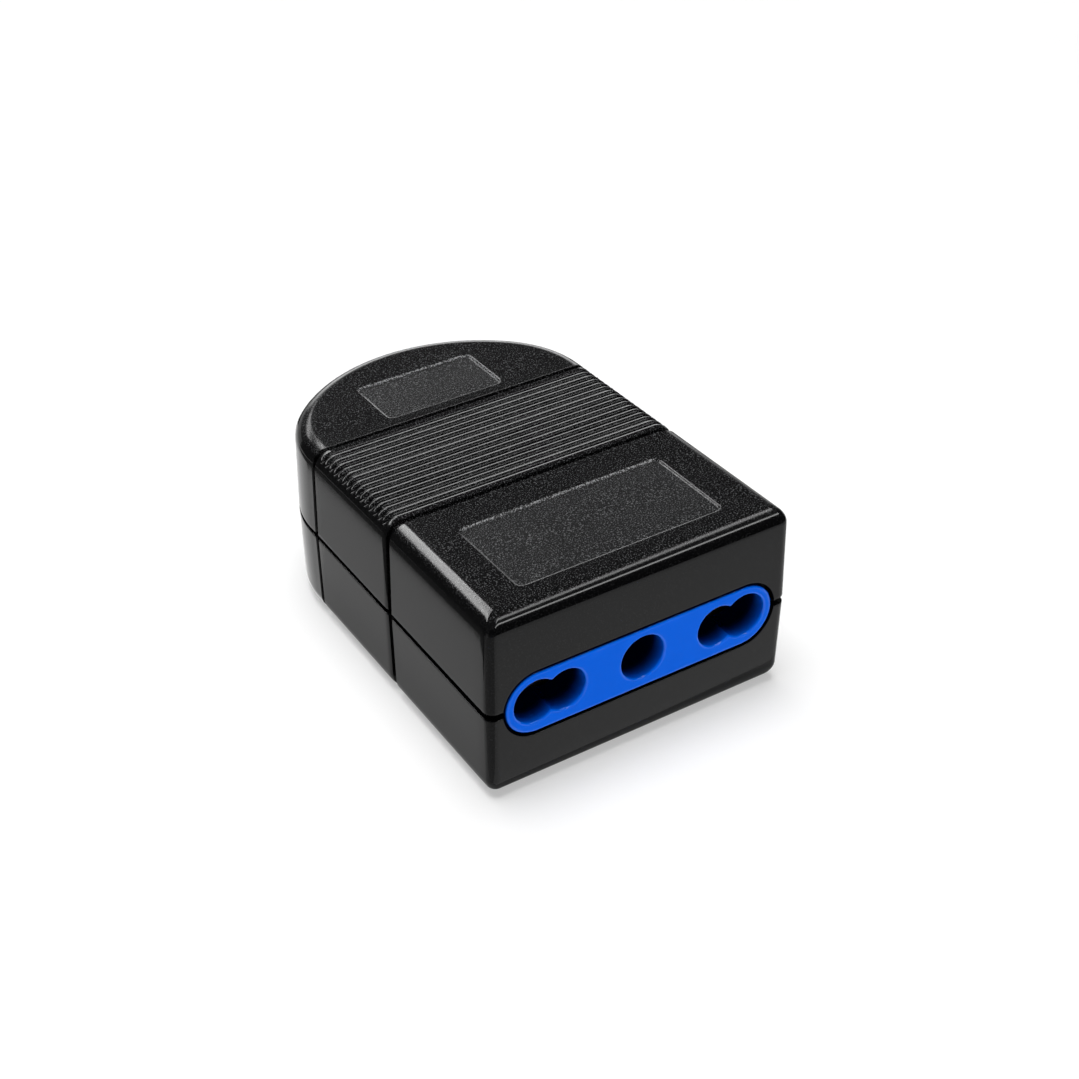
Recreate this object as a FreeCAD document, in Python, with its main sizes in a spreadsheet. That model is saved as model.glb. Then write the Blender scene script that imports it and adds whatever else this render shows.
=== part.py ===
import FreeCAD, Part
import math
import os
import Sketcher

# In-line power socket with a two-gauge face: a casing in two moulded halves, a blue contact carrier
# held between them, brass contacts and terminals inside, and a cable inlet in the rounded back.
# X runs across the face, the face looks along -Y, Z is up; the origin is under the middle of the base.

DIMENSIONS = (
    ("body_length", 53.6, "front face to the crown of the rounded back"),
    ("side_taper", 0.46, "each side draws in by this up to the arch"),
    ("arch_length", 15.1, "length of the rounded back"),
    ("arch_side_radius", 13.0, "side arcs of the rounded back"),
    ("lower_height", 11.0, "base to parting line"),
    ("upper_height", 11.7, "parting line to the top at the front"),
    ("top_fall", 1.2, "the top falls by this from front to back"),
    ("draft_angle", 1.0, "draft of every side wall, degrees"),
    ("top_radius", 2.0, "rounding of the top edges"),
    ("base_radius", 2.4, "rounding of the base edges"),
    ("corner_radius", 1.1, "rounding of the upright front corners"),
    ("seam_bevel", 0.2, "bevel of both edges along the parting line"),
    ("notch_height", 0.6, "gap along the parting line at the front, beside the face"),
    ("notch_depth", 0.9, "depth of that gap behind the front"),
    ("wall", 1.8, "casing wall"),
    ("cavity_radius", 0.8, "rounding inside the casing"),
    ("spare", 1.0, "overrun of a cut beyond the surface it opens"),
    ("skin", 0.05, "sideways clearance of a core that only shapes the top"),
    ("groove_depth", 0.5, "depth of the two grooves round the casing"),
    ("front_groove_at", 20.4, "front face to the front groove's middle"),
    ("front_groove_width", 0.8, "front groove"),
    ("rear_groove_back", 16.35, "rear groove's middle to the crown of the back"),
    ("rear_groove_width", 0.5, "rear groove"),
    ("rib_pitch", 1.005, "pitch of the grip ribs"),
    ("channel_start", 1.2, "rear groove's middle to the first channel's middle"),
    ("channel_end", 1.58, "last channel's middle to the front groove's middle, to the nearest pitch"),
    ("channel_width", 0.4, "channel between two ribs"),
    ("channel_depth", 0.24, "channel depth on the flat top"),
    ("channel_fade", 0.22, "channel floors are rounded less than the top edge by this, so they run out"),
    ("panel_depth", 0.25, "depth of the two flat panels on top"),
    ("panel_corner", 0.8, "corner radius of the panels"),
    ("front_panel_width", 25.0, "front panel across"),
    ("front_panel_length", 11.9, "front panel front to back"),
    ("front_panel_at", 4.05, "front face to the front panel"),
    ("rear_panel_width", 14.8, "rear panel across"),
    ("rear_panel_length", 7.9, "rear panel front to back"),
    ("rear_panel_back", 6.7, "rear panel to the crown of the back"),
    ("face_rim", 1.05, "outer line pin hole to the end of the face cut-out"),
    ("face_lip", 1.2, "outer line pin hole to the long edge of the face cut-out"),
    ("cheek", 2.0, "end of the face cut-out to the side of the casing"),
    ("face_gap", 0.28, "gap between the cut-out and the socket face"),
    ("face_recess", 0.1, "the socket face lies behind the front by this"),
    ("face_round", 0.4, "rounding of the socket face's edge"),
    ("small_spacing", 19.0, "pin spacing of the small gauge"),
    ("large_spacing", 26.0, "pin spacing of the large gauge"),
    ("small_hole", 2.45, "hole radius for the small line pins"),
    ("large_hole", 2.6, "hole radius for the large line pins"),
    ("earth_hole", 2.65, "hole radius for the earth pin"),
    ("mouth_flare", 0.35, "flare at the mouth of each hole"),
    ("carrier_side_gap", 0.18, "contact carrier to the casing wall at each side"),
    ("carrier_wall", 2.6, "carrier wall over and under the contact chambers"),
    ("carrier_play", 0.1, "play of the carrier between its seats, front to back"),
    ("front_web", 2.5, "carrier wall between the casing front and the contact chambers"),
    ("line_chamber_side", 2.35, "line pin axis to the side of its chamber"),
    ("earth_chamber_side", 0.65, "earth pin hole to the side of its chamber"),
    ("chamber_rise", 1.0, "outer line pin hole to the top of the chambers"),
    ("tray_length", 10.0, "tray behind the carrier block"),
    ("rear_room", 20.6, "tray to the crown of the back"),
    ("tray_floor", 2.6, "thickness of the tray"),
    ("fence_thick", 1.2, "fences between the terminals"),
    ("fence_height", 8.8, "height of the fences above the tray"),
    ("contact_play", 0.15, "play of a contact in its chamber on each side"),
    ("leaf", 0.8, "thickness of the contact leaves"),
    ("leaf_inset", 0.8, "chamber floor to the tips of the leaves"),
    ("leaf_waist", 1.9, "half gap between the leaves where they grip"),
    ("leaf_mouth", 2.75, "half gap between the leaves at their tips"),
    ("waist_at", 4.2, "leaf tips to the grip"),
    ("web_setback", 1.2, "back of the contact webs to the back of the carrier block"),
    ("tail_width", 3.0, "contact tail across"),
    ("tail_thick", 1.0, "contact tail thickness"),
    ("tail_length", 3.6, "contact tail behind the web"),
    ("terminal_width", 6.4, "terminal block across"),
    ("terminal_length", 8.0, "terminal block front to back"),
    ("terminal_height", 7.2, "terminal block height"),
    ("terminal_back", 0.9, "terminal block to the back edge of the tray"),
    ("wire_hole", 1.5, "radius of a terminal's wire hole"),
    ("wire_depth", 4.8, "depth of a terminal's wire hole"),
    ("wire_level", 2.6, "wire hole axis above the tray"),
    ("tail_slack", 0.05, "slack round a contact tail in its terminal"),
    ("terminal_thread", 1.5, "thread radius of a terminal screw"),
    ("terminal_head", 2.3, "head radius of a terminal screw"),
    ("terminal_head_height", 1.8, "head height of a terminal screw"),
    ("thread_slack", 0.05, "slack between a plain shank and its hole"),
    ("slot_width", 0.8, "driver slot"),
    ("slot_depth", 0.9, "driver slot depth"),
    ("seat_rib", 1.6, "thickness of the cross ribs that seat the carrier"),
    ("front_rib_at", 5.0, "front face to the front cross rib"),
    ("rear_rib_at", 18.0, "front face to the rear cross rib"),
    ("seat_rib_width", 26.0, "cross ribs, across"),
    ("stop_rib_width", 17.0, "stop rib behind the tray, across"),
    ("stop_rib_height", 8.0, "base to the top of the stop rib"),
    ("boss_spacing", 21.6, "casing screws, across"),
    ("boss_gap", 4.2, "tray to the screw bosses"),
    ("boss_wall", 0.75, "wall of a screw boss round the screw head"),
    ("casing_thread", 1.5, "thread radius of a casing screw"),
    ("casing_head", 2.3, "head radius of a casing screw"),
    ("casing_head_height", 1.9, "head height of a casing screw"),
    ("casing_seat", 5.5, "base to the seat of the casing screw heads"),
    ("head_clearance", 0.25, "clearance round a casing screw head"),
    ("pilot_depth", 7.4, "parting line to the blind end of the casing screw holes"),
    ("screw_end_gap", 0.6, "blind end to the tip of a screw"),
    ("inlet_radius", 4.2, "cable inlet in the middle of the back"),
    ("saddle_back", 9.2, "front of the cable saddle to the crown of the back"),
    ("saddle_thick", 3.0, "cable saddle, front to back"),
    ("saddle_edge", 0.1, "clamp screw head to the end of the saddle"),
    ("saddle_drop", 1.4, "parting line down to the shoulders of the cable saddle"),
    ("clamp_overhang", 0.2, "the cable clamp is longer than the saddle by this at each end"),
    ("clamp_foot", 2.6, "thickness of the clamp's feet"),
    ("clamp_lift", 1.0, "axis of the clamp's arch above the saddle's shoulders"),
    ("clamp_bore", 4.0, "inner radius of the clamp's arch"),
    ("clamp_wall", 1.6, "wall of the clamp's arch"),
    ("clamp_gap", 0.3, "clamp screw heads to the clamp's arch"),
    ("clamp_thread", 1.2, "thread radius of a clamp screw"),
    ("clamp_head", 2.1, "head radius of a clamp screw"),
    ("clamp_head_height", 1.6, "head height of a clamp screw"),
    ("clamp_screw_foot", 3.2, "base to the blind end of the clamp screw holes"),
)

UP = FreeCAD.Vector(0, 0, 1)
DOWN = FreeCAD.Vector(0, 0, -1)
ALONG_Y = FreeCAD.Rotation(FreeCAD.Vector(1, 0, 0), -90)
FRONT = "(-dims.body_length / 2)"
PARTING = "dims.lower_height"
FLAT = 1e-3

# Sizes that follow from the pin pattern outward: face, chambers, carrier, casing.
LINE_X = "((dims.small_spacing + dims.large_spacing) / 4)"
FACE_WIDTH = "(dims.large_spacing + 2 * (dims.large_hole + dims.face_rim))"
FACE_HEIGHT = "(2 * (dims.large_hole + dims.face_lip))"
BODY_WIDTH = "(%s + 2 * dims.cheek)" % FACE_WIDTH
LINE_CHAMBER = "((dims.large_spacing - dims.small_spacing) / 2 + 2 * dims.line_chamber_side)"
EARTH_CHAMBER = "(2 * (dims.earth_hole + dims.earth_chamber_side))"
CHAMBER_HEIGHT = "(2 * (dims.large_hole + dims.chamber_rise))"
CARRIER_HEIGHT = "(%s + 2 * dims.carrier_wall)" % CHAMBER_HEIGHT
CARRIER_DRAFT = "(%s / 2 * tan(dims.draft_angle * 1 deg))" % CARRIER_HEIGHT
CARRIER_WIDTH = "(%s - 2 * (dims.side_taper + dims.wall + %s + dims.carrier_side_gap))" % (
    BODY_WIDTH, CARRIER_DRAFT)
CARRIER_BASE = "(dims.lower_height - %s / 2)" % CARRIER_HEIGHT
CARRIER_TOP = "(dims.lower_height + %s / 2)" % CARRIER_HEIGHT
TRAY_TOP = "(%s + dims.tray_floor)" % CARRIER_BASE

# Distances behind the front face, along the inside.
CARRIER_FRONT = "(dims.wall + dims.carrier_play + %s)" % CARRIER_DRAFT
TRAY_BACK = "(dims.body_length - dims.rear_room)"
CARRIER_BACK = "(%s - dims.tray_length)" % TRAY_BACK
LEAF_TIP = "(%s + dims.front_web + dims.leaf_inset)" % CARRIER_FRONT
WEB_BACK = "(%s - dims.web_setback)" % CARRIER_BACK
CONTACT_LENGTH = "(%s - %s)" % (WEB_BACK, LEAF_TIP)
TERMINAL_AT = "(%s - dims.terminal_back - dims.terminal_length)" % TRAY_BACK
BOSS_RADIUS = "(dims.casing_head + dims.head_clearance + dims.boss_wall)"
BOSS_AT = "(%s + dims.boss_gap + %s)" % (TRAY_BACK, BOSS_RADIUS)
SADDLE_AT = "(dims.body_length - dims.saddle_back)"
SADDLE_TOP = "(dims.lower_height - dims.saddle_drop)"
CLAMP_SPACING = "(2 * (dims.clamp_bore + dims.clamp_wall + dims.clamp_gap + dims.clamp_head))"
SADDLE_WIDTH = "(%s + 2 * (dims.clamp_head + dims.saddle_edge))" % CLAMP_SPACING
PILOT_TOP = "(dims.lower_height + dims.pilot_depth)"
GROOVE_AT = {"front": "dims.front_groove_at", "rear": "(dims.body_length - dims.rear_groove_back)"}
PANEL_AT = {
    "front": "dims.front_panel_at",
    "rear": "(dims.body_length - dims.rear_panel_back - dims.rear_panel_length)",
}
SIDES = (("left", "-"), ("right", ""))
CHAMBERS = (
    ("live", LINE_CHAMBER, "-" + LINE_X),
    ("earth", EARTH_CHAMBER, "0"),
    ("neutral", LINE_CHAMBER, LINE_X),
)
HOLES = (
    ("live_large", "dims.large_hole", "-dims.large_spacing / 2"),
    ("live_small", "dims.small_hole", "-dims.small_spacing / 2"),
    ("earth", "dims.earth_hole", "0"),
    ("neutral_small", "dims.small_hole", "dims.small_spacing / 2"),
    ("neutral_large", "dims.large_hole", "dims.large_spacing / 2"),
)

doc = FreeCAD.newDocument("inline_socket")
dims = doc.addObject("Spreadsheet::Sheet", "dims")
for row, (alias, value, note) in enumerate(DIMENSIONS, 1):
    dims.set("A%d" % row, alias + ": " + note)
    dims.set("B%d" % row, str(value))
    dims.setAlias("B%d" % row, alias)
doc.recompute()


def size(expression):
    """Value of an expression over the sheet."""
    value = dims.evalExpression(expression)
    return float(getattr(value, "Value", value))


def bind(obj, **expressions):
    """Bind properties to expressions over the sheet; a double underscore stands for a dot."""
    for name, expression in expressions.items():
        obj.setExpression(name.replace("__", "."), expression)
    return obj


def behind_front(distance):
    """Y of a point at a distance behind the front face."""
    return "%s + %s" % (FRONT, distance)


def place(obj, x, y, z):
    """Tie an object's position to three expressions."""
    return bind(obj, Placement__Base__x=x, Placement__Base__y=y, Placement__Base__z=z)


def block(name, width, length, height, y, z, x="0"):
    """Box centred on x, starting at y and z."""
    obj = doc.addObject("Part::Box", name)
    bind(obj, Length=width, Width=length, Height=height)
    return place(obj, "%s - (%s) / 2" % (x, width), y, z)


def post(name, radius, height, x, y, z):
    """Upright cylinder standing on z."""
    obj = doc.addObject("Part::Cylinder", name)
    bind(obj, Radius=radius, Height=height)
    return place(obj, x, y, z)


def rod(name, radius, length, x, y, z):
    """Cylinder along Y starting at y."""
    obj = doc.addObject("Part::Cylinder", name)
    obj.Placement = FreeCAD.Placement(FreeCAD.Vector(), ALONG_Y)
    bind(obj, Radius=radius, Height=length)
    return place(obj, x, y, z)


def funnel(name, mouth, throat, length, x, y, z):
    """Cone along Y, wide at y and narrowing behind it."""
    obj = doc.addObject("Part::Cone", name)
    obj.Placement = FreeCAD.Placement(FreeCAD.Vector(), ALONG_Y)
    bind(obj, Radius1=mouth, Radius2=throat, Height=length)
    return place(obj, x, y, z)


def union(name, *members):
    obj = doc.addObject("Part::MultiFuse", name)
    obj.Shapes = list(members)
    return obj


def minus(name, base, tool):
    obj = doc.addObject("Part::Cut", name)
    obj.Base = base
    obj.Tool = tool
    return obj


def overlap(name, base, tool):
    obj = doc.addObject("Part::Common", name)
    obj.Base = base
    obj.Tool = tool
    return obj


def outline_sketch():
    """Plan of the casing at the parting line: straight front, tapered sides, three-arc back."""
    half = size(BODY_WIDTH + " / 2")
    waist = size(BODY_WIDTH + " / 2 - dims.side_taper")
    front = size(FRONT)
    crown = -front
    arch = size("dims.body_length / 2 - dims.arch_length")
    side_r = size("dims.arch_side_radius")
    rise = crown - arch
    reach = waist - side_r
    crown_r = (reach ** 2 + rise ** 2 - side_r ** 2) / (2 * (rise - side_r))
    meet = math.atan2(arch - (crown - crown_r), reach)

    def point(x, y):
        return FreeCAD.Vector(x, y, 0)

    def arc(centre, radius, start, end):
        return Part.ArcOfCircle(Part.Circle(centre, UP, radius), start, end)

    sketch = doc.addObject("Sketcher::SketchObject", "casing_outline")
    lines = [
        Part.LineSegment(point(-half, front), point(half, front)),
        Part.LineSegment(point(half, front), point(waist, arch)),
        arc(point(reach, arch), side_r, 0, meet),
        arc(point(0, crown - crown_r), crown_r, meet, math.pi - meet),
        arc(point(-reach, arch), side_r, math.pi - meet, math.pi),
        Part.LineSegment(point(-waist, arch), point(-half, front)),
    ]
    face, right, right_arc, back_arc, left_arc, left = sketch.addGeometry(lines)
    top = sketch.addGeometry(Part.Point(point(0, crown)), True)
    start, end, origin, upright = 1, 2, -1, -2
    rule = Sketcher.Constraint
    sketch.addConstraint([
        rule("Coincident", face, end, right, start),
        rule("Tangent", right, end, right_arc, start),
        rule("Tangent", right_arc, end, back_arc, start),
        rule("Tangent", back_arc, end, left_arc, start),
        rule("Tangent", left_arc, end, left, start),
        rule("Coincident", left, end, face, start),
        rule("Symmetric", face, start, face, end, upright),
        rule("Symmetric", left, start, right, end, upright),
        rule("PointOnObject", top, start, upright),
        rule("PointOnObject", top, start, back_arc),
        rule("Equal", right_arc, left_arc),
    ])
    driving = (
        ("front_width", rule("DistanceX", face, start, face, end, 2 * half), BODY_WIDTH),
        ("front_reach", rule("DistanceY", face, end, origin, start, crown), "dims.body_length / 2"),
        ("arch_width", rule("DistanceX", left, start, right, end, 2 * waist),
         BODY_WIDTH + " - 2 * dims.side_taper"),
        ("arch_start", rule("DistanceY", origin, start, right, end, arch),
         "dims.body_length / 2 - dims.arch_length"),
        ("crown_reach", rule("DistanceY", origin, start, top, start, crown), "dims.body_length / 2"),
        ("side_arc", rule("Radius", right_arc, side_r), "dims.arch_side_radius"),
    )
    for name, constraint, expression in driving:
        index = sketch.addConstraint(constraint)
        sketch.renameConstraint(index, name)
        sketch.setExpression("Constraints." + name, expression)
    return bind(sketch, Placement__Base__z=PARTING)


def sloped_slab(name, drop):
    """Slab over the whole plan whose top lies below the casing's sloped top by drop."""
    slope = "dims.top_fall * dims.spare / dims.body_length"
    slab = doc.addObject("Part::Wedge", name)
    reach = BODY_WIDTH + " / 2 + dims.spare"
    top = "dims.lower_height + dims.upper_height - (%s)" % drop
    bind(slab, Xmin="-(%s)" % reach, Xmax=reach, X2min="-(%s)" % reach, X2max=reach)
    bind(slab, Ymin="%s - dims.spare" % FRONT, Ymax="dims.body_length / 2 + dims.spare")
    bind(slab, Zmin="-dims.spare", Z2min="-dims.spare")
    return bind(slab, Zmax="%s + %s" % (top, slope), Z2max="%s - dims.top_fall - %s" % (top, slope))


def height_of_top(y, drop):
    """Height of the sloped top, lowered by drop, at y."""
    fall = size("dims.top_fall / dims.body_length") * (y - size(FRONT))
    return size("dims.lower_height + dims.upper_height") - drop - fall


def edge_points(edge):
    count = 5
    step = (edge.LastParameter - edge.FirstParameter) / (count - 1)
    return [edge.valueAt(edge.FirstParameter + step * i) for i in range(count)]


def casing_form(prefix, outline, upper, inset, drop, edge_radius, corner_radius):
    """Drafted half of the casing, inset all round, with rounded edges and front corners."""
    source = outline
    if inset != "0":
        source = doc.addObject("Part::Offset2D", prefix + "_plan")
        source.Source = outline
        source.Join = "Intersection"
        bind(source, Value="-(%s)" % inset)
    blank = doc.addObject("Part::Extrusion", prefix + "_blank")
    blank.Base = source
    blank.DirMode = "Custom"
    blank.Dir = UP if upper else DOWN
    blank.Solid = True
    full = "dims.upper_height" if upper else "dims.lower_height"
    bind(blank, LengthFwd="%s - (%s)" % (full, drop), TaperAngle="-dims.draft_angle")
    if upper:
        blank = overlap(prefix + "_sloped", blank, sloped_slab(prefix + "_slab", drop))
    doc.recompute()
    edge_r = size(edge_radius)
    corner_r = size(corner_radius)
    floor = size(drop)
    corner_y = size(FRONT) + size("dims.body_length / 10")
    rounded = []
    for index, edge in enumerate(blank.Shape.Edges, 1):
        points = edge_points(edge)
        if upper:
            on_face = all(abs(p.z - height_of_top(p.y, floor)) < FLAT for p in points)
        else:
            on_face = all(abs(p.z - floor) < FLAT for p in points)
        upright = abs(points[0].z - points[-1].z) > edge_r
        if on_face:
            rounded.append((index, edge_r, edge_r))
        elif upright and max(p.y for p in points) < corner_y:
            rounded.append((index, corner_r, corner_r))
    form = doc.addObject("Part::Fillet", prefix + "_form")
    form.Base = blank
    form.Edges = rounded
    return form


def seam_bevelled(prefix, form):
    """Bevel the edge of a casing half along the parting line."""
    doc.recompute()
    bevel = size("dims.seam_bevel")
    seam = size(PARTING)
    edges = []
    for index, edge in enumerate(form.Shape.Edges, 1):
        if all(abs(p.z - seam) < FLAT for p in edge_points(edge)):
            edges.append((index, bevel, bevel))
    obj = doc.addObject("Part::Chamfer", prefix + "_bevelled")
    obj.Base = form
    obj.Edges = edges
    return obj


def groove_tool(upper_core, lower_core):
    """Two rings that cut the grooves right round both halves."""
    slabs = []
    for end in ("front", "rear"):
        width = "dims.%s_groove_width" % end
        slabs.append(block(end + "_groove_slab", BODY_WIDTH + " + 2 * dims.spare", width,
                           "dims.lower_height + dims.upper_height + 2 * dims.spare",
                           behind_front("%s - %s / 2" % (GROOVE_AT[end], width)), "-dims.spare"))
    core = union("groove_core", upper_core, lower_core)
    return minus("groove_rings", union("groove_slabs", *slabs), core)


def channel_tool(core):
    """Channels across the grip, running out on the rounded top edges."""
    slabs = []
    grip = size("%s - %s - dims.channel_start - dims.channel_end" % (GROOVE_AT["rear"], GROOVE_AT["front"]))
    count = round(grip / size("dims.rib_pitch")) + 1
    for number in range(count):
        middle = "%s - dims.channel_start - %d * dims.rib_pitch" % (GROOVE_AT["rear"], number)
        slabs.append(block("channel_slab_%02d" % number, BODY_WIDTH + " + 2 * dims.spare",
                           "dims.channel_width", "dims.upper_height",
                           behind_front("%s - dims.channel_width / 2" % middle),
                           "dims.lower_height + 2 * dims.top_radius"))
    return minus("grip_channels", union("channel_slabs", *slabs), core)


def panel_tool():
    """Two shallow flat panels with rounded corners, parallel to the sloped top."""
    prisms = []
    corner = size("dims.panel_corner")
    for end in ("front", "rear"):
        box = block(end + "_panel_block", "dims.%s_panel_width" % end, "dims.%s_panel_length" % end,
                    "dims.upper_height", behind_front(PANEL_AT[end]),
                    "dims.lower_height + dims.wall")
        doc.recompute()
        upright = []
        for index, edge in enumerate(box.Shape.Edges, 1):
            points = edge_points(edge)
            if abs(points[0].z - points[-1].z) > FLAT:
                upright.append((index, corner, corner))
        prism = doc.addObject("Part::Fillet", end + "_panel_prism")
        prism.Base = box
        prism.Edges = upright
        prisms.append(prism)
    floor = sloped_slab("panel_slab", "dims.panel_depth")
    return minus("panel_recesses", union("panel_prisms", *prisms), floor)


def stadium(name, width, height, y, length):
    """Round-ended bar along Y, centred on the parting line."""
    radius = "(%s) / 2" % height
    reach = "((%s) - (%s)) / 2" % (width, height)
    bar = block(name + "_bar", "2 * " + reach, length, height, y, "%s - %s" % (PARTING, radius))
    ends = [rod(name + "_" + side, radius, length, sign + reach, y, PARTING)
            for side, sign in (("left", "-"), ("right", ""))]
    return union(name, bar, *ends)


SCREW_Y = behind_front(BOSS_AT)
CLAMP_Y = behind_front(SADDLE_AT + " + dims.saddle_thick / 2")


def boss_x(sign):
    return sign + "dims.boss_spacing / 2"


def clamp_x(sign):
    return "%s%s / 2" % (sign, CLAMP_SPACING)


def upper_shell(outline, rings, core):
    """Upper half: grip ribs, grooves and panels outside; carrier ribs and screw bosses inside."""
    form = seam_bevelled("upper", casing_form("upper", outline, True, "0", "0",
                                              "dims.top_radius", "dims.corner_radius"))
    channel_core = casing_form("channel_core", outline, True, "-dims.skin", "dims.channel_depth",
                               "dims.top_radius - dims.channel_fade", "dims.corner_radius")
    cavity = casing_form("upper_cavity", outline, True, "dims.wall", "dims.wall",
                         "dims.cavity_radius", "dims.cavity_radius")
    grooved = minus("upper_grooved", form, rings)
    ribbed = minus("upper_ribbed", grooved, channel_tool(channel_core))
    marked = minus("upper_panelled", ribbed, panel_tool())
    hollow = minus("upper_hollow", marked, cavity)
    inner = [block("upper_rib_" + end, "dims.seat_rib_width", "dims.seat_rib", "dims.upper_height",
                   behind_front("dims.%s_rib_at" % end), CARRIER_TOP) for end in ("front", "rear")]
    inner += [post("upper_boss_" + side, BOSS_RADIUS, "dims.upper_height",
                   boss_x(sign), SCREW_Y, PARTING) for side, sign in SIDES]
    fitted = overlap("upper_inner", union("upper_inner_blanks", *inner), core)
    cuts = [post("upper_pilot_" + side, "dims.casing_thread + dims.thread_slack",
                 "dims.pilot_depth + dims.spare",
                 boss_x(sign), SCREW_Y, "dims.lower_height - dims.spare") for side, sign in SIDES]
    return hollow, fitted, cuts


def lower_shell(outline, rings, core):
    """Lower half: carrier seats, tray stop, cable saddle and counterbored screw bosses inside."""
    form = seam_bevelled("lower", casing_form("lower", outline, False, "0", "0",
                                              "dims.base_radius", "dims.corner_radius"))
    cavity = casing_form("lower_cavity", outline, False, "dims.wall", "dims.wall",
                         "dims.cavity_radius", "dims.cavity_radius")
    hollow = minus("lower_hollow", minus("lower_grooved", form, rings), cavity)
    inner = [block("lower_rib_" + end, "dims.seat_rib_width", "dims.seat_rib", CARRIER_BASE,
                   behind_front("dims.%s_rib_at" % end), "0") for end in ("front", "rear")]
    inner.append(block("tray_rib", "dims.seat_rib_width", "dims.seat_rib", CARRIER_BASE,
                       behind_front(TRAY_BACK + " - 2 * dims.seat_rib"), "0"))
    inner.append(block("stop_rib", "dims.stop_rib_width", "dims.seat_rib", "dims.stop_rib_height",
                       behind_front(TRAY_BACK + " + dims.carrier_play"), "0"))
    inner.append(block("saddle", SADDLE_WIDTH, "dims.saddle_thick", SADDLE_TOP,
                       behind_front(SADDLE_AT), "0"))
    inner += [post("lower_boss_" + side, BOSS_RADIUS, PARTING, boss_x(sign), SCREW_Y, "0")
              for side, sign in SIDES]
    fitted = overlap("lower_inner", union("lower_inner_blanks", *inner), core)
    cuts = [rod("saddle_groove", "dims.inlet_radius", "dims.saddle_thick + 2 * dims.spare", "0",
                behind_front(SADDLE_AT + " - dims.spare"), PARTING)]
    for side, sign in SIDES:
        cuts.append(post("head_bore_" + side, "dims.casing_head + dims.head_clearance",
                         "dims.casing_seat + dims.spare", boss_x(sign), SCREW_Y, "-dims.spare"))
        cuts.append(post("shank_bore_" + side, "dims.casing_thread + dims.thread_slack",
                         "dims.lower_height", boss_x(sign), SCREW_Y, "dims.spare"))
        cuts.append(post("clamp_pilot_" + side, "dims.clamp_thread + dims.thread_slack",
                         SADDLE_TOP, clamp_x(sign), CLAMP_Y, "dims.clamp_screw_foot"))
    return hollow, fitted, cuts


def face_rounded(bar):
    """Round the edge of the socket face."""
    doc.recompute()
    face_y = size(behind_front("dims.face_recess"))
    radius = size("dims.face_round")
    edges = []
    for index, edge in enumerate(bar.Shape.Edges, 1):
        if all(abs(p.y - face_y) < FLAT for p in edge_points(edge)):
            edges.append((index, radius, radius))
    obj = doc.addObject("Part::Fillet", "nose")
    obj.Base = bar
    obj.Edges = edges
    return obj


def contact_carrier():
    """Stadium nose in the cut-out, block with three contact chambers, tray with two fences."""
    bar = stadium("nose_bar", FACE_WIDTH + " - 2 * dims.face_gap", FACE_HEIGHT + " - 2 * dims.face_gap",
                  behind_front("dims.face_recess"), CARRIER_FRONT + " - dims.face_recess + dims.spare")
    bar.Refine = True
    nose = face_rounded(bar)
    body = block("carrier_block", CARRIER_WIDTH, CARRIER_BACK + " - " + CARRIER_FRONT, CARRIER_HEIGHT,
                 behind_front(CARRIER_FRONT), CARRIER_BASE)
    tray = block("tray", CARRIER_WIDTH, "dims.tray_length + dims.spare", "dims.tray_floor",
                 behind_front(CARRIER_BACK + " - dims.spare"), CARRIER_BASE)
    fence_x = LINE_X + " / 2"
    fences = [block("fence_" + side, "dims.fence_thick", "dims.tray_length + dims.spare",
                    "dims.fence_height + dims.tray_floor", behind_front(CARRIER_BACK + " - dims.spare"),
                    CARRIER_BASE, sign + fence_x) for side, sign in SIDES]
    solid = union("carrier_solid", nose, body, tray, *fences)
    chamber_y = behind_front(CARRIER_FRONT + " + dims.front_web")
    chamber_z = "%s - %s / 2" % (PARTING, CHAMBER_HEIGHT)
    hollows = []
    for name, width, x in CHAMBERS:
        hollows.append(block(name + "_chamber", width, CARRIER_BACK, CHAMBER_HEIGHT,
                             chamber_y, chamber_z, x))
    hole_y = behind_front("dims.face_recess - dims.spare")
    hole_length = "dims.spare - dims.face_recess + " + CARRIER_FRONT + " + dims.front_web + dims.spare"
    for name, radius, x in HOLES:
        hollows.append(rod(name + "_way", radius, hole_length, x, hole_y, PARTING))
        hollows.append(funnel(name + "_mouth", radius + " + 2 * dims.mouth_flare", radius,
                              "2 * dims.mouth_flare", x,
                              behind_front("dims.face_recess - dims.mouth_flare"), PARTING))
    return minus("carrier_cut", solid, union("carrier_hollows", *hollows))


def polygon_sketch(body, name, role, corners):
    """Closed polygon on an origin plane of a body, every corner tied to two expressions."""
    plane = [f for f in body.Origin.OriginFeatures if f.Role == role][0]
    sketch = body.newObject("Sketcher::SketchObject", name)
    sketch.AttachmentSupport = [(plane, "")]
    sketch.MapMode = "FlatFace"
    points = [FreeCAD.Vector(size(u), size(v), 0) for u, v in corners]
    count = len(points)
    for index in range(count):
        sketch.addGeometry(Part.LineSegment(points[index], points[(index + 1) % count]))
    for index in range(count):
        sketch.addConstraint(Sketcher.Constraint("Coincident", index, 2, (index + 1) % count, 1))
    for index, (u, v) in enumerate(corners):
        for kind, axis, value in (("DistanceX", "u", u), ("DistanceY", "v", v)):
            rule = Sketcher.Constraint(kind, -1, 1, index, 1, size(value))
            number = sketch.addConstraint(rule)
            label = "%s_%s%d" % (name, axis, index)
            sketch.renameConstraint(number, label)
            sketch.setExpression("Constraints." + label, value)
    return sketch


def pad(body, name, sketch, length):
    """Pad a sketch by length, half to each side of its plane."""
    feature = body.newObject("PartDesign::Pad", name)
    feature.Profile = sketch
    feature.SideType = "Symmetric"
    return bind(feature, Length=length)


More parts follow.
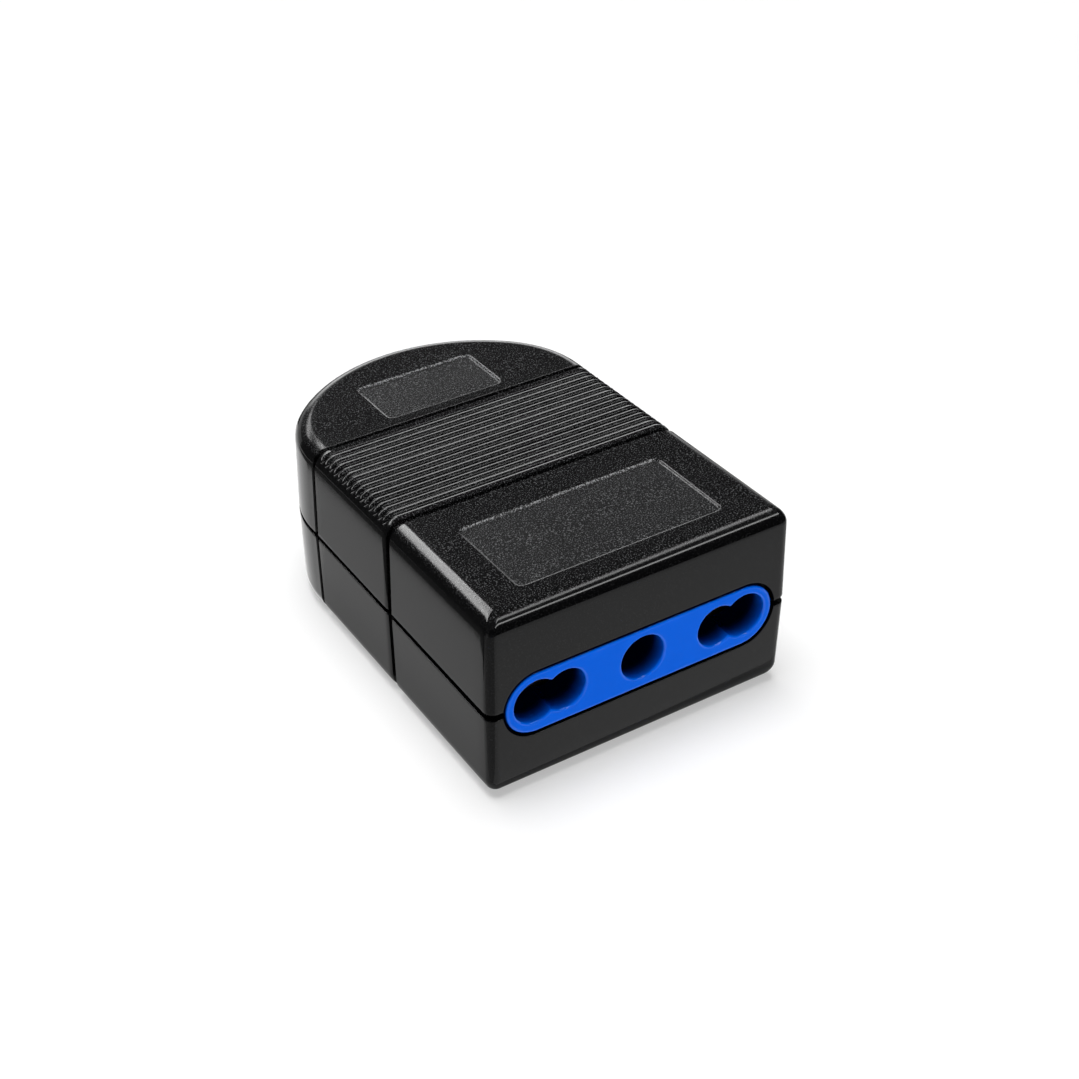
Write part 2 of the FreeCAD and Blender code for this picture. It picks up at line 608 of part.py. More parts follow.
def contact(name, chamber, x):
    """Sprung clip: two leaves that close to a grip and flare at the tips, a web and a tail."""
    body = doc.addObject("PartDesign::Body", name)
    root = "(%s / 2 - dims.contact_play)" % CHAMBER_HEIGHT
    grip = "dims.waist_at"
    web = "(%s - dims.leaf)" % CONTACT_LENGTH
    half = [
        ("0", "dims.leaf_mouth"),
        (grip, "dims.leaf_waist"),
        (web, "%s - dims.leaf" % root),
    ]
    outer = [
        (CONTACT_LENGTH, root),
        (grip, "dims.leaf_waist + dims.leaf"),
        ("0", "dims.leaf_mouth + dims.leaf"),
    ]

    def mirrored(points):
        return [(u, "-(%s)" % v) for u, v in reversed(points)]

    clip = polygon_sketch(body, name + "_clip", "YZ_Plane", half + mirrored(half) + mirrored(outer) + outer)
    pad(body, name + "_leaves", clip, "%s - 2 * dims.contact_play" % chamber)
    thick = "dims.tail_thick / 2"
    back = CONTACT_LENGTH + " + dims.tail_length"
    strip = polygon_sketch(body, name + "_strip", "YZ_Plane",
                           [(web, "-" + thick), (back, "-" + thick), (back, thick), (web, thick)])
    pad(body, name + "_tail", strip, "dims.tail_width")
    return place(body, x, behind_front(LEAF_TIP), PARTING)


def terminal(name, x):
    """Brass block with a wire hole at the back, a tail slot at the front and a screw hole on top."""
    y = behind_front(TERMINAL_AT)
    back = behind_front(TERMINAL_AT + " + dims.terminal_length")
    solid = block(name + "_block", "dims.terminal_width", "dims.terminal_length", "dims.terminal_height",
                  y, TRAY_TOP, x)
    wire = rod(name + "_wire", "dims.wire_hole", "dims.wire_depth + dims.spare", x,
               back + " - dims.wire_depth", "%s + dims.wire_level" % TRAY_TOP)
    slot = block(name + "_slot", "dims.tail_width + 2 * dims.tail_slack",
                 "%s + dims.tail_length + dims.tail_slack - %s + dims.spare" % (WEB_BACK, TERMINAL_AT),
                 "dims.tail_thick + 2 * dims.tail_slack", y + " - dims.spare",
                 "%s - dims.tail_thick / 2 - dims.tail_slack" % PARTING, x)
    thread = post(name + "_thread", "dims.terminal_thread + dims.thread_slack", "dims.terminal_height",
                  x, back + " - dims.wire_depth / 2", "%s + dims.wire_level" % TRAY_TOP)
    return minus(name, solid, union(name + "_holes", wire, slot, thread))


def screw(name, thread, head, head_height, length, x, y, seat, upward):
    """Slotted cheese-head screw; its head bears on the seat and the shank runs upward or downward."""
    depth = "dims.slot_depth"
    if upward:
        cap_z, shank_z, slot_z = "%s - %s" % (seat, head_height), seat, "%s - %s" % (seat, head_height)
        slot_z += " - dims.spare"
    else:
        cap_z, shank_z = seat, "%s - (%s)" % (seat, length)
        slot_z = "%s + %s - %s" % (seat, head_height, depth)
    cap = post(name + "_cap", head, head_height, x, y, cap_z)
    shank = post(name + "_shank", thread, length, x, y, shank_z)
    slot = block(name + "_slot", "2 * (%s) + dims.spare" % head, "dims.slot_width", depth + " + dims.spare",
                 "%s - dims.slot_width / 2" % y, slot_z, x)
    return minus(name, union(name + "_blank", cap, shank), slot)


def cable_clamp():
    """Bridge over the cable: two flat feet and a round arch."""
    length = "dims.saddle_thick + 2 * dims.clamp_overhang"
    y = behind_front(SADDLE_AT + " - dims.clamp_overhang")
    axis = SADDLE_TOP + " + dims.clamp_lift"
    feet = block("clamp_feet", SADDLE_WIDTH, length, "dims.clamp_foot", y, SADDLE_TOP)
    arch = rod("clamp_arch", "dims.clamp_bore + dims.clamp_wall", length, "0", y, axis)
    room = block("clamp_room", SADDLE_WIDTH, length, "dims.upper_height", y, SADDLE_TOP)
    shaped = overlap("clamp_blank", union("clamp_rough", feet, arch), room)
    cuts = [rod("clamp_way", "dims.clamp_bore", length + " + 2 * dims.spare", "0", y + " - dims.spare", axis)]
    cuts += [post("clamp_hole_" + side, "dims.clamp_thread + 2 * dims.thread_slack",
                  "dims.clamp_foot + 2 * dims.spare", clamp_x(sign), CLAMP_Y,
                  SADDLE_TOP + " - dims.spare") for side, sign in SIDES]
    return minus("cable_clamp", shaped, union("clamp_cuts", *cuts))


def group(name, members):
    """Identical loose pieces as one node."""
    obj = doc.addObject("Part::Compound", name)
    obj.Links = members
    return obj


outline = outline_sketch()
upper_core = casing_form("upper_core", outline, True, "dims.groove_depth", "dims.groove_depth",
                         "dims.top_radius - dims.groove_depth", "dims.corner_radius - dims.groove_depth")
lower_core = casing_form("lower_core", outline, False, "dims.groove_depth", "dims.groove_depth",
                         "dims.base_radius - dims.groove_depth", "dims.corner_radius - dims.groove_depth")
rings = groove_tool(upper_core, lower_core)

face_cut = stadium("face_cut", FACE_WIDTH, FACE_HEIGHT, "%s - dims.spare" % FRONT,
                   CARRIER_FRONT + " + dims.spare")
notch = block("seam_notch", BODY_WIDTH + " + 2 * dims.spare", "dims.notch_depth + dims.spare",
              "dims.notch_height", "%s - dims.spare" % FRONT, "%s - dims.notch_height / 2" % PARTING)
inlet = rod("inlet", "dims.inlet_radius", "dims.arch_length / 2", "0",
            "dims.body_length / 2 - dims.arch_length / 4", PARTING)

shells = []
for half_name, maker, half_core in (("upper", upper_shell, upper_core), ("lower", lower_shell, lower_core)):
    hollow, fitted, cuts = maker(outline, rings, half_core)
    whole = union(half_name + "_whole", hollow, fitted)
    openings = union(half_name + "_openings", face_cut, notch, inlet, *cuts)
    shells.append(minus(half_name + "_casing", whole, openings))
    shells[-1].Label = half_name + "_shell"

carrier = contact_carrier()
carrier.Label = "socket_carrier"
contacts = []
terminals = []
terminal_screws = []
for pole, chamber_width, pole_x in CHAMBERS:
    contacts.append(contact(pole + "_contact", chamber_width, pole_x))
    terminals.append(terminal(pole + "_terminal", pole_x))
    screw_reach = "dims.terminal_height - dims.wire_level - dims.wire_hole"
    terminal_screws.append(screw(
        pole + "_screw", "dims.terminal_thread", "dims.terminal_head", "dims.terminal_head_height",
        screw_reach, pole_x, behind_front(TERMINAL_AT + " + dims.terminal_length - dims.wire_depth / 2"),
        "%s + dims.terminal_height" % TRAY_TOP, False))

casing_screws = [screw("casing_screw_" + side, "dims.casing_thread", "dims.casing_head",
                       "dims.casing_head_height", PILOT_TOP + " - dims.screw_end_gap - dims.casing_seat",
                       boss_x(sign), SCREW_Y, "dims.casing_seat", True) for side, sign in SIDES]
clamp_screws = [screw("clamp_screw_" + side, "dims.clamp_thread", "dims.clamp_head", "dims.clamp_head_height",
                      SADDLE_TOP + " + dims.clamp_foot - dims.clamp_screw_foot - dims.screw_end_gap",
                      clamp_x(sign), CLAMP_Y, SADDLE_TOP + " + dims.clamp_foot", False)
                for side, sign in SIDES]

nodes = shells + [carrier] + contacts + terminals + [
    group("terminal_screws", terminal_screws),
    cable_clamp(),
    group("clamp_screws", clamp_screws),
    group("casing_screws", casing_screws),
]
doc.recompute()

faults = [obj.Name for obj in doc.Objects if "Invalid" in obj.State or "Error" in obj.State]
if faults:
    raise RuntimeError("not recomputed: " + ", ".join(faults))
for node in nodes:
    if node.Shape.isNull() or not node.Shape.isValid():
        raise RuntimeError("no valid solid: " + node.Label)

os.makedirs("parts", exist_ok=True)
for node in nodes:
    node.Shape.exportStep("parts/%s.step" % node.Label)
    box = node.Shape.BoundBox
    print("%s: %d solids, %.2f mm3, y %.2f..%.2f z %.2f..%.2f" % (
        node.Label, len(node.Shape.Solids), node.Shape.Volume, box.YMin, box.YMax, box.ZMin, box.ZMax))
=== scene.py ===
import math

import bpy
import bmesh
import numpy as np
from mathutils import Matrix, Vector


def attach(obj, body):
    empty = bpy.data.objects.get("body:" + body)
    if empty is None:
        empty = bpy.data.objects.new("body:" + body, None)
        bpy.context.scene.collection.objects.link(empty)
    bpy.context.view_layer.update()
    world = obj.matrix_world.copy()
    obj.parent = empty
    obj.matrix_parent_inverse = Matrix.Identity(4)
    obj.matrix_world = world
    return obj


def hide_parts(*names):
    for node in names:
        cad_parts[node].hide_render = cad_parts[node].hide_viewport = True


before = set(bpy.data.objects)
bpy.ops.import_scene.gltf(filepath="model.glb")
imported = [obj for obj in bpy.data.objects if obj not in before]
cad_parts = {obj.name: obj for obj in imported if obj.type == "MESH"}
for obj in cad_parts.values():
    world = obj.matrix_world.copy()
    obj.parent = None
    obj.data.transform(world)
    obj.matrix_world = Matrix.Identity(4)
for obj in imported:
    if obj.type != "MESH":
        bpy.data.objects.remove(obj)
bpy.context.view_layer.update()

# In-line power socket: black moulded casing in two halves, blue socket carrier, brass and steel inside.
# Sizes are in millimetres until a mesh is made. X runs across the face, the face looks along -Y, Z is up.
# "Behind the front" distances are measured from the front face towards the rounded back.

MM = 0.001

# Casing outline and height
LENGTH = 53.6
FRONT = -LENGTH / 2
HALF_WIDTH = 18.63
SIDE_TAPER = 0.46
ARCH_START = 38.5
ARCH_SIDE_RADIUS = 13.0
PARTING = 11.0
UPPER_HEIGHT = 11.698
LOWER_HEIGHT = 11.0
TOP_FALL = 1.2
DRAFT = math.radians(1.0)
TOP_RADIUS = 2.0
BASE_RADIUS = 2.4
CORNER_RADIUS = 1.1
CORNER_TOP_RADIUS = 0.2
PULL_RUN = 6.0
WALL = 1.8

# Parting line and openings
SEAM_ROUND = 0.06
SEAM_GAP = 0.28
NOTCH_HEIGHT = 0.4
NOTCH_DEPTH = 0.9
NOTCH_RUN = 20.0
FACE_END = 12.85
FACE_RADIUS = 4.1
FACE_DROP = 0.12
INLET_RADIUS = 4.2

# Grooves, grip ribs and panels
GROOVE_DEPTH = 0.5
GROOVE_EDGE_IN = 0.08
GROOVE_EDGE_OUT = 0.1
GROOVE_ROLL = 0.12
GROOVE_ROLL_RUN = 0.7
FRONT_GROOVE = 20.4
FRONT_GROOVE_HALF = 0.4
REAR_GROOVE = 37.25
REAR_GROOVE_HALF = 0.25
CHANNEL_PITCH = 1.005
CHANNEL_COUNT = 15
CHANNEL_LAST = 36.05
CHANNEL_DEPTH = 0.24
CHANNEL_FLOOR = 0.06
CHANNEL_EDGE = 0.24
CREST_FALL = 0.065
CREST_POWER = 1.25
PANEL_DEPTH = 0.22
PANEL_CORNER = 0.8
PANEL_SLOPE = (-0.2, 0.12)
# Half width of the painted highlight line along the panel rims
RIM_HIGHLIGHT_HALF = 0.1

# Panels: half width, front edge and back edge behind the front
FRONT_PANEL = (12.5, 4.05, 15.95)
REAR_PANEL = (7.4, 39.0, 46.9)

# Mesh rows and columns on each side of a panel edge
EDGE_STEPS = (0.0, 0.05, 0.1, 0.16, 0.25, 0.4)

# Amount of mould grain on the walls and on top, which also sets how many crests are painted pale as glints;
# the panels have 1, which paints an even sheen, and their rims more, which paints a highlight line
WALL_GRAIN = 0.04
TOP_GRAIN = 0.36

# Turns of the top edge over which channels set in, and grain by the front corner and elsewhere
CHANNEL_TURN = (math.radians(30.0), math.radians(62.0))
GRAIN_LATE = (math.radians(50.0), math.radians(64.0))
GRAIN_SOON = (math.radians(40.0), math.radians(60.0))

# Screw bosses: place, and radii of boss, head recess and shank
BOSS_X = 10.8
BOSS_BEHIND = 40.5
BOSS_RADIUS = 3.3
HEAD_RADIUS = 2.55
SHANK_RADIUS = 1.55
HEAD_SEAT = 5.5
HEAD_BEVEL = 0.2
PILOT_TOP = 18.4

# Bars inside the casing: distances behind the front, half widths and heights above the base
BAR_THICK = 1.6
BAR_FOOT = 1.2
BAR_HALF = 13.0
ROOF_BARS = (5.0, 18.0)
ROOF_BAR_LOW = 17.2
ROOF_BAR_LAP = 0.2
FLOOR_BARS = ((5.0, BAR_HALF, 4.8), (18.0, BAR_HALF, 4.8), (29.8, BAR_HALF, 4.8), (33.1, 8.5, 8.0))
SADDLE_HALF = 10.2
SADDLE_SHOULDER = 9.6
SADDLE_NEAR = 44.4
SADDLE_FAR = 47.4

# Socket carrier: nose in the face cut-out, pin holes, chambers, tray
NOSE_RADIUS = 3.82
NOSE_FRONT = 0.03
NOSE_BACK = 2.4
NOSE_ROUND = 0.4
MOUTH_ROUND = 0.26
# Depth down the pin holes by which painted shade has darkened the blue fully
HOLE_PAINTED_SHADE = 2.2
LINE_X = 11.25
PIN_OFFSET = 1.75
SMALL_HOLE = 2.45
LARGE_HOLE = 2.6
EARTH_HOLE = 2.65
WAIST_ROUND = 0.12
CARRIER_HALF = 16.1
CARRIER_RISE = 6.2
WEB_FRONT = 2.01
WEB_BACK = 4.51
WEB_ROUND = 0.1
WEB_SLACK = 0.02
CHAMBER_RISE = 3.6
CHAMBER_WALLS = ((-CARRIER_HALF, -15.35), (-7.15, -3.3), (3.3, 7.15), (15.35, CARRIER_HALF))
CARRIER_BACK = 23.0
TRAY_BACK = 33.0
FENCE_HALF = 0.6
FENCE_TOP = 16.2
LAP = 0.05


def smooth(low, high, value):
    """Smooth step from 0 at low to 1 at high."""
    t = np.clip((value - low) / (high - low), 0.0, 1.0)
    return t * t * (3.0 - 2.0 * t)


def join(*parts, axis=0):
    """Arrays put one after another."""
    return np.concatenate(parts, axis)


def spread(centre, offsets):
    """Places at plus and minus each offset from a centre."""
    offsets = np.asarray(offsets, float)
    return join(centre - offsets, centre + offsets)


def thinned(values, step=0.03):
    """Sorted values on a grid of the given step, each once."""
    return np.unique(np.round(join(*values) / step)) * step


def polar(radius, angle):
    """Places across and up at a radius and an angle."""
    return radius * np.cos(angle), radius * np.sin(angle)


def closed(grid):
    """A grid with its first column repeated at the end."""
    return join(grid, grid[:, :1], axis=1)


def new_object(name, data):
    """An object at the origin, linked to the scene."""
    thing = bpy.data.objects.new(name, data)
    bpy.context.scene.collection.objects.link(thing)
    return thing


class Skin:
    """One closed surface, collected from grids, strips and fans that share vertices."""

    def __init__(self):
        self.points, self.faces, self.tones, self.count = [], [], [], 0

    def add(self, x, y, z, tone=0.0):
        """Adds a grid of points and returns its vertex numbers in the same layout."""
        x, y, z, tone = np.broadcast_arrays(x, y, z, tone)
        numbers = np.arange(self.count, self.count + x.size).reshape(x.shape)
        self.points.append(np.stack([x, y, z], -1).reshape(-1, 3))
        self.tones.append(np.asarray(tone, float).reshape(-1))
        self.count += x.size
        return numbers

    def put(self, faces, flip=False):
        """Adds faces as rows of vertex numbers, turned round if asked."""
        self.faces.append(faces[:, ::-1] if flip else faces)

    def quads(self, grid, flip=False, keep=None):
        """Quads between neighbouring rows and columns of a grid of vertex numbers."""
        q = np.stack([grid[:-1, :-1], grid[:-1, 1:], grid[1:, 1:], grid[1:, :-1]], -1)
        self.put(q.reshape(-1, 4) if keep is None else q[keep], flip)

    def zip(self, low, high, at_low, at_high, flip=False):
        """Triangles between two rows, taken in the order of their places along the strip."""
        places = join(at_low[1:], at_high[1:])
        upper = join(np.zeros(len(low) - 1, bool), np.ones(len(high) - 1, bool))
        upper = upper[np.argsort(places, kind="stable")]
        i = np.cumsum(~upper) - ~upper
        j = np.cumsum(upper) - upper
        third = np.where(upper, high[np.minimum(j + 1, len(high) - 1)], low[np.minimum(i + 1, len(low) - 1)])
        self.put(np.stack([low[i], third, high[j]], -1), flip)

    def zip_round(self, outer, inner, centre, flip=False):
        """Triangles between two closed loops round a centre, in the order of their angles."""
        points = join(*self.points)[:, :2] - centre

        def by_angle(loop):
            angle = np.arctan2(points[loop, 1], points[loop, 0])
            order = np.argsort(angle)
            loop, angle = loop[order], angle[order]
            return np.append(loop, loop[0]), np.append(angle, angle[0] + 2 * np.pi)

        outer, at_outer = by_angle(outer)
        inner, at_inner = by_angle(inner)
        self.zip(outer, inner, at_outer, at_inner, flip)

    def fan(self, row, middle, flip):
        """Triangles from a row of vertices to one middle vertex."""
        self.put(np.stack([row[:-1], row[1:], np.full(len(row) - 1, middle)], -1), flip)

    def build(self, name, sharp=40.0):
        """Makes the mesh object: doubles merged, smooth, with edges above the angle kept sharp."""
        mesh = bpy.data.meshes.new(name)
        corners = join(*(f.reshape(-1) for f in self.faces))
        sizes = join(*(np.full(len(f), f.shape[1]) for f in self.faces))
        used, corners = np.unique(corners, return_inverse=True)
        points = join(*self.points)[used] * MM
        starts = np.cumsum(sizes) - sizes
        for items, key, values in ((mesh.vertices, "co", points),
                                   (mesh.loops, "vertex_index", corners.astype(np.int32)),
                                   (mesh.polygons, "loop_start", starts.astype(np.int32))):
            items.add(len(values))
            items.foreach_set(key, values.reshape(-1))
        mesh.update(calc_edges=True)
        # Per point: grain amount and painted rim highlight on the casing, polish and painted shade on the
        # carrier
        tone = mesh.attributes.new("grain", "FLOAT", "POINT")
        tone.data.foreach_set("value", join(*self.tones)[used].astype(np.float32))
        work = bmesh.new()
        work.from_mesh(mesh)
        bmesh.ops.remove_doubles(work, verts=work.verts, dist=4e-7)
        bmesh.ops.dissolve_degenerate(work, edges=work.edges, dist=1e-7)
        work.to_mesh(mesh)
        work.free()
        mesh.validate()
        mesh.shade_smooth()
        mesh.set_sharp_from_angle(angle=math.radians(sharp))
        return new_object(name, mesh)


class Outline:
    """Right half of the casing outline, as stations from the middle of the front round to the crown:
    on the straight front, the upright corner, the rows of the side, the side arc and the crown arc.
    """

    def __init__(self, rise, radius, rows):
        self.radius = radius
        self.foot = radius * math.cos(DRAFT) + (rise - radius + radius * math.sin(DRAFT)) * math.tan(DRAFT)
        arch_length = LENGTH - ARCH_START
        self.side_x = HALF_WIDTH - SIDE_TAPER - ARCH_SIDE_RADIUS
        chord = self.side_x ** 2 + arch_length ** 2 - ARCH_SIDE_RADIUS ** 2
        self.crown_radius = chord / (2 * (arch_length - ARCH_SIDE_RADIUS))
        self.crown_y = LENGTH - self.crown_radius
        self.meet = math.atan2(ARCH_START - self.crown_y, self.side_x)
        cut = FACE_RADIUS * np.sin(np.linspace(0.0, math.pi / 2, 18))
        self.front = join(np.linspace(0.0, FACE_END, 9)[:-1], FACE_END + cut,
                          FACE_END + FACE_RADIUS + np.array([0.08, 0.2, 0.38]), [HALF_WIDTH - CORNER_RADIUS])
        self.corner = np.radians(np.linspace(-90.0, 0.0, 9)[1:-1])
        self.start = self.foot + CORNER_TOP_RADIUS
        rows = rows[(rows > self.start + 0.05) & (rows < ARCH_START - 0.05)]
        self.rows = join([self.start], rows)
        near, far = REAR_PANEL[1:]
        edges = join(spread(near, EDGE_STEPS), spread(far, EDGE_STEPS),
                     spread(near + 0.5, (0.1, 0.25)), spread(far - 0.5, (0.1, 0.25)))
        side_top = ARCH_SIDE_RADIUS - self.foot
        crown_top = self.crown_radius - self.foot
        change = ARCH_START + side_top * math.sin(self.meet)
        low = edges[(edges > ARCH_START) & (edges < change)]
        high = edges[edges >= change]
        inlet = INLET_RADIUS * np.cos(np.linspace(0.0, math.pi / 2, 15)[:-1])
        side = join(np.linspace(0.0, self.meet, 26)[:-1], np.arcsin((low - ARCH_START) / side_top))
        crown = join(np.linspace(self.meet, math.pi / 2, 30)[:-1],
                     np.arcsin((high - self.crown_y) / crown_top), np.arccos(inlet / self.crown_radius))
        self.side = np.unique(np.round(side, 4))
        self.crown = np.append(np.unique(np.round(crown, 4)), math.pi / 2)
        stations = (self.front, self.corner, self.rows, self.side, self.crown)
        ends = np.cumsum([0] + [len(v) for v in stations])
        self.parts = [slice(a, b) for a, b in zip(ends[:-1], ends[1:])]
        self.total = ends[-1]

    def corner_round(self, inset):
        """Radius of the upright corner: full at the parting line, small where the top edge ends."""
        return CORNER_RADIUS + (CORNER_TOP_RADIUS - CORNER_RADIUS) * np.clip(inset / self.foot, 0, 1)

    def at(self, inset):
        """Station places at an inset from the outline: one number, or one for each station.

        The upright corner's radius shrinks towards the top edge, and the rows just behind it follow. The half
        width is constant at the corner, then draws in towards the arch.
        """
        inset = np.broadcast_to(inset, self.total)
        f, c, r, s, k = (inset[part] for part in self.parts)
        round_f, round_c, round_r = (self.corner_round(v) for v in (f, c, r))
        front_x = self.front / self.front[-1] * (HALF_WIDTH - f - round_f)
        turn_x, turn_y = polar(round_c, self.corner)
        corner_x, corner_y = HALF_WIDTH - c - round_c + turn_x, c + round_c + turn_y
        pull = np.clip(1 - (self.rows - self.start) / PULL_RUN, 0.0, 1.0)
        row_y = self.rows - (self.start - r - round_r) * pull
        run = np.maximum(row_y - self.start, 0.0) / (ARCH_START - self.start)
        row_x = HALF_WIDTH - SIDE_TAPER * run - r
        side_x, side_y = polar(ARCH_SIDE_RADIUS - s, self.side)
        crown_x, crown_y = polar(self.crown_radius - k, self.crown)
        return (join(front_x, corner_x, row_x, self.side_x + side_x, crown_x),
                join(f, corner_y, row_y, ARCH_START + side_y, self.crown_y + crown_y))


def groove_fall(behind):
    """Depth of the two grooves: a flat floor, steep walls with a small round at their edges.

    The grip behind the front groove also rolls off gently towards it.
    """
    def one(place, half):
        return 1 - smooth(half - GROOVE_EDGE_IN, half + GROOVE_EDGE_OUT, np.abs(behind - place))

    both = np.maximum(one(FRONT_GROOVE, FRONT_GROOVE_HALF), one(REAR_GROOVE, REAR_GROOVE_HALF))
    past = (behind - FRONT_GROOVE - FRONT_GROOVE_HALF) / GROOVE_ROLL_RUN
    roll = np.clip(1 - past, 0, 1) * (behind >= FRONT_GROOVE)
    return np.maximum(GROOVE_DEPTH * both, GROOVE_ROLL * roll ** 2)


def rib_fall(behind):
    """Depth of the grip channels on the flat top: a row of rounded channels at an even pitch.

    The crests between them are crowned: a rounded ridge falls almost evenly from its middle to its edges.
    """
    first = CHANNEL_LAST - (CHANNEL_COUNT - 1) * CHANNEL_PITCH
    nearest = np.clip(np.round((behind - first) / CHANNEL_PITCH), 0, CHANNEL_COUNT - 1)
    away = np.abs(behind - first - nearest * CHANNEL_PITCH)
    crown = np.clip((CHANNEL_PITCH / 2 - away) / (CHANNEL_PITCH / 2 - CHANNEL_EDGE), 0, 1)
    return CHANNEL_DEPTH * (1 - smooth(CHANNEL_FLOOR, CHANNEL_EDGE, away)) + CREST_FALL * crown ** CREST_POWER


def panel_reach(x, behind, panel):
    """Distance outside a rounded rectangle, and whether the nearest edge is its front or back one."""
    half, near, far = panel
    over_x = np.abs(x) - (half - PANEL_CORNER)
    over_y = np.abs(behind - (near + far) / 2) - ((far - near) / 2 - PANEL_CORNER)
    outside = np.hypot(np.maximum(over_x, 0), np.maximum(over_y, 0))
    return outside + np.minimum(np.maximum(over_x, over_y), 0) - PANEL_CORNER, over_y > over_x


def panel_cover(x, behind):
    """1 on the two panels, 0 off them, with a short slope between."""
    reach = np.minimum(*(panel_reach(x, behind, panel)[0] for panel in (FRONT_PANEL, REAR_PANEL)))
    return 1 - smooth(*PANEL_SLOPE, reach)


def painted_rim_highlight(x, behind):
    """Painted highlight along the panels' rims: a bell curve on the rear one's rim and the front one's front
    and back edges.
    """
    front, across = panel_reach(x, behind, FRONT_PANEL)
    rear = panel_reach(x, behind, REAR_PANEL)[0]
    return np.exp(-(front / RIM_HIGHLIGHT_HALF) ** 2) * across + np.exp(-(rear / RIM_HIGHLIGHT_HALF) ** 2)


def row_places(ribbed):
    """Rows across the casing: even, and close together at groove edges, channels and panel edges."""
    groove_steps = (0.0, 0.2, 0.3, 0.34, 0.38, 0.42, 0.46, 0.5, 0.56, 0.66, 0.8, 1.0, 1.25)
    thin_steps = (0.0, 0.1, 0.16, 0.2, 0.24, 0.28, 0.32, 0.36, 0.42, 0.55, 0.75)
    rows = [np.arange(2.8, ARCH_START, 0.9), spread(FRONT_GROOVE, groove_steps),
            spread(REAR_GROOVE, thin_steps)]
    if ribbed:
        channel_steps = (0.0, 0.07, 0.12, 0.165, 0.21, 0.255, 0.3, 0.345, 0.42, 0.5)
        centres = CHANNEL_LAST - CHANNEL_PITCH * np.arange(CHANNEL_COUNT)
        rows += [spread(centre, channel_steps) for centre in centres]
        for edge, way in ((FRONT_PANEL[1], 1), (FRONT_PANEL[2], -1)):
            rows += [spread(edge, EDGE_STEPS), edge + way * np.arange(0.1, 1.0, 0.1)]
    return thinned(rows)


def mirrored(right, left_sign=1):
    """A full ring of station values: the right half, then the left half backwards."""
    return join(right, left_sign * right[..., -2:0:-1], axis=-1)


# First and last section of a shell's ring
INNER, OUTER = 0, -1


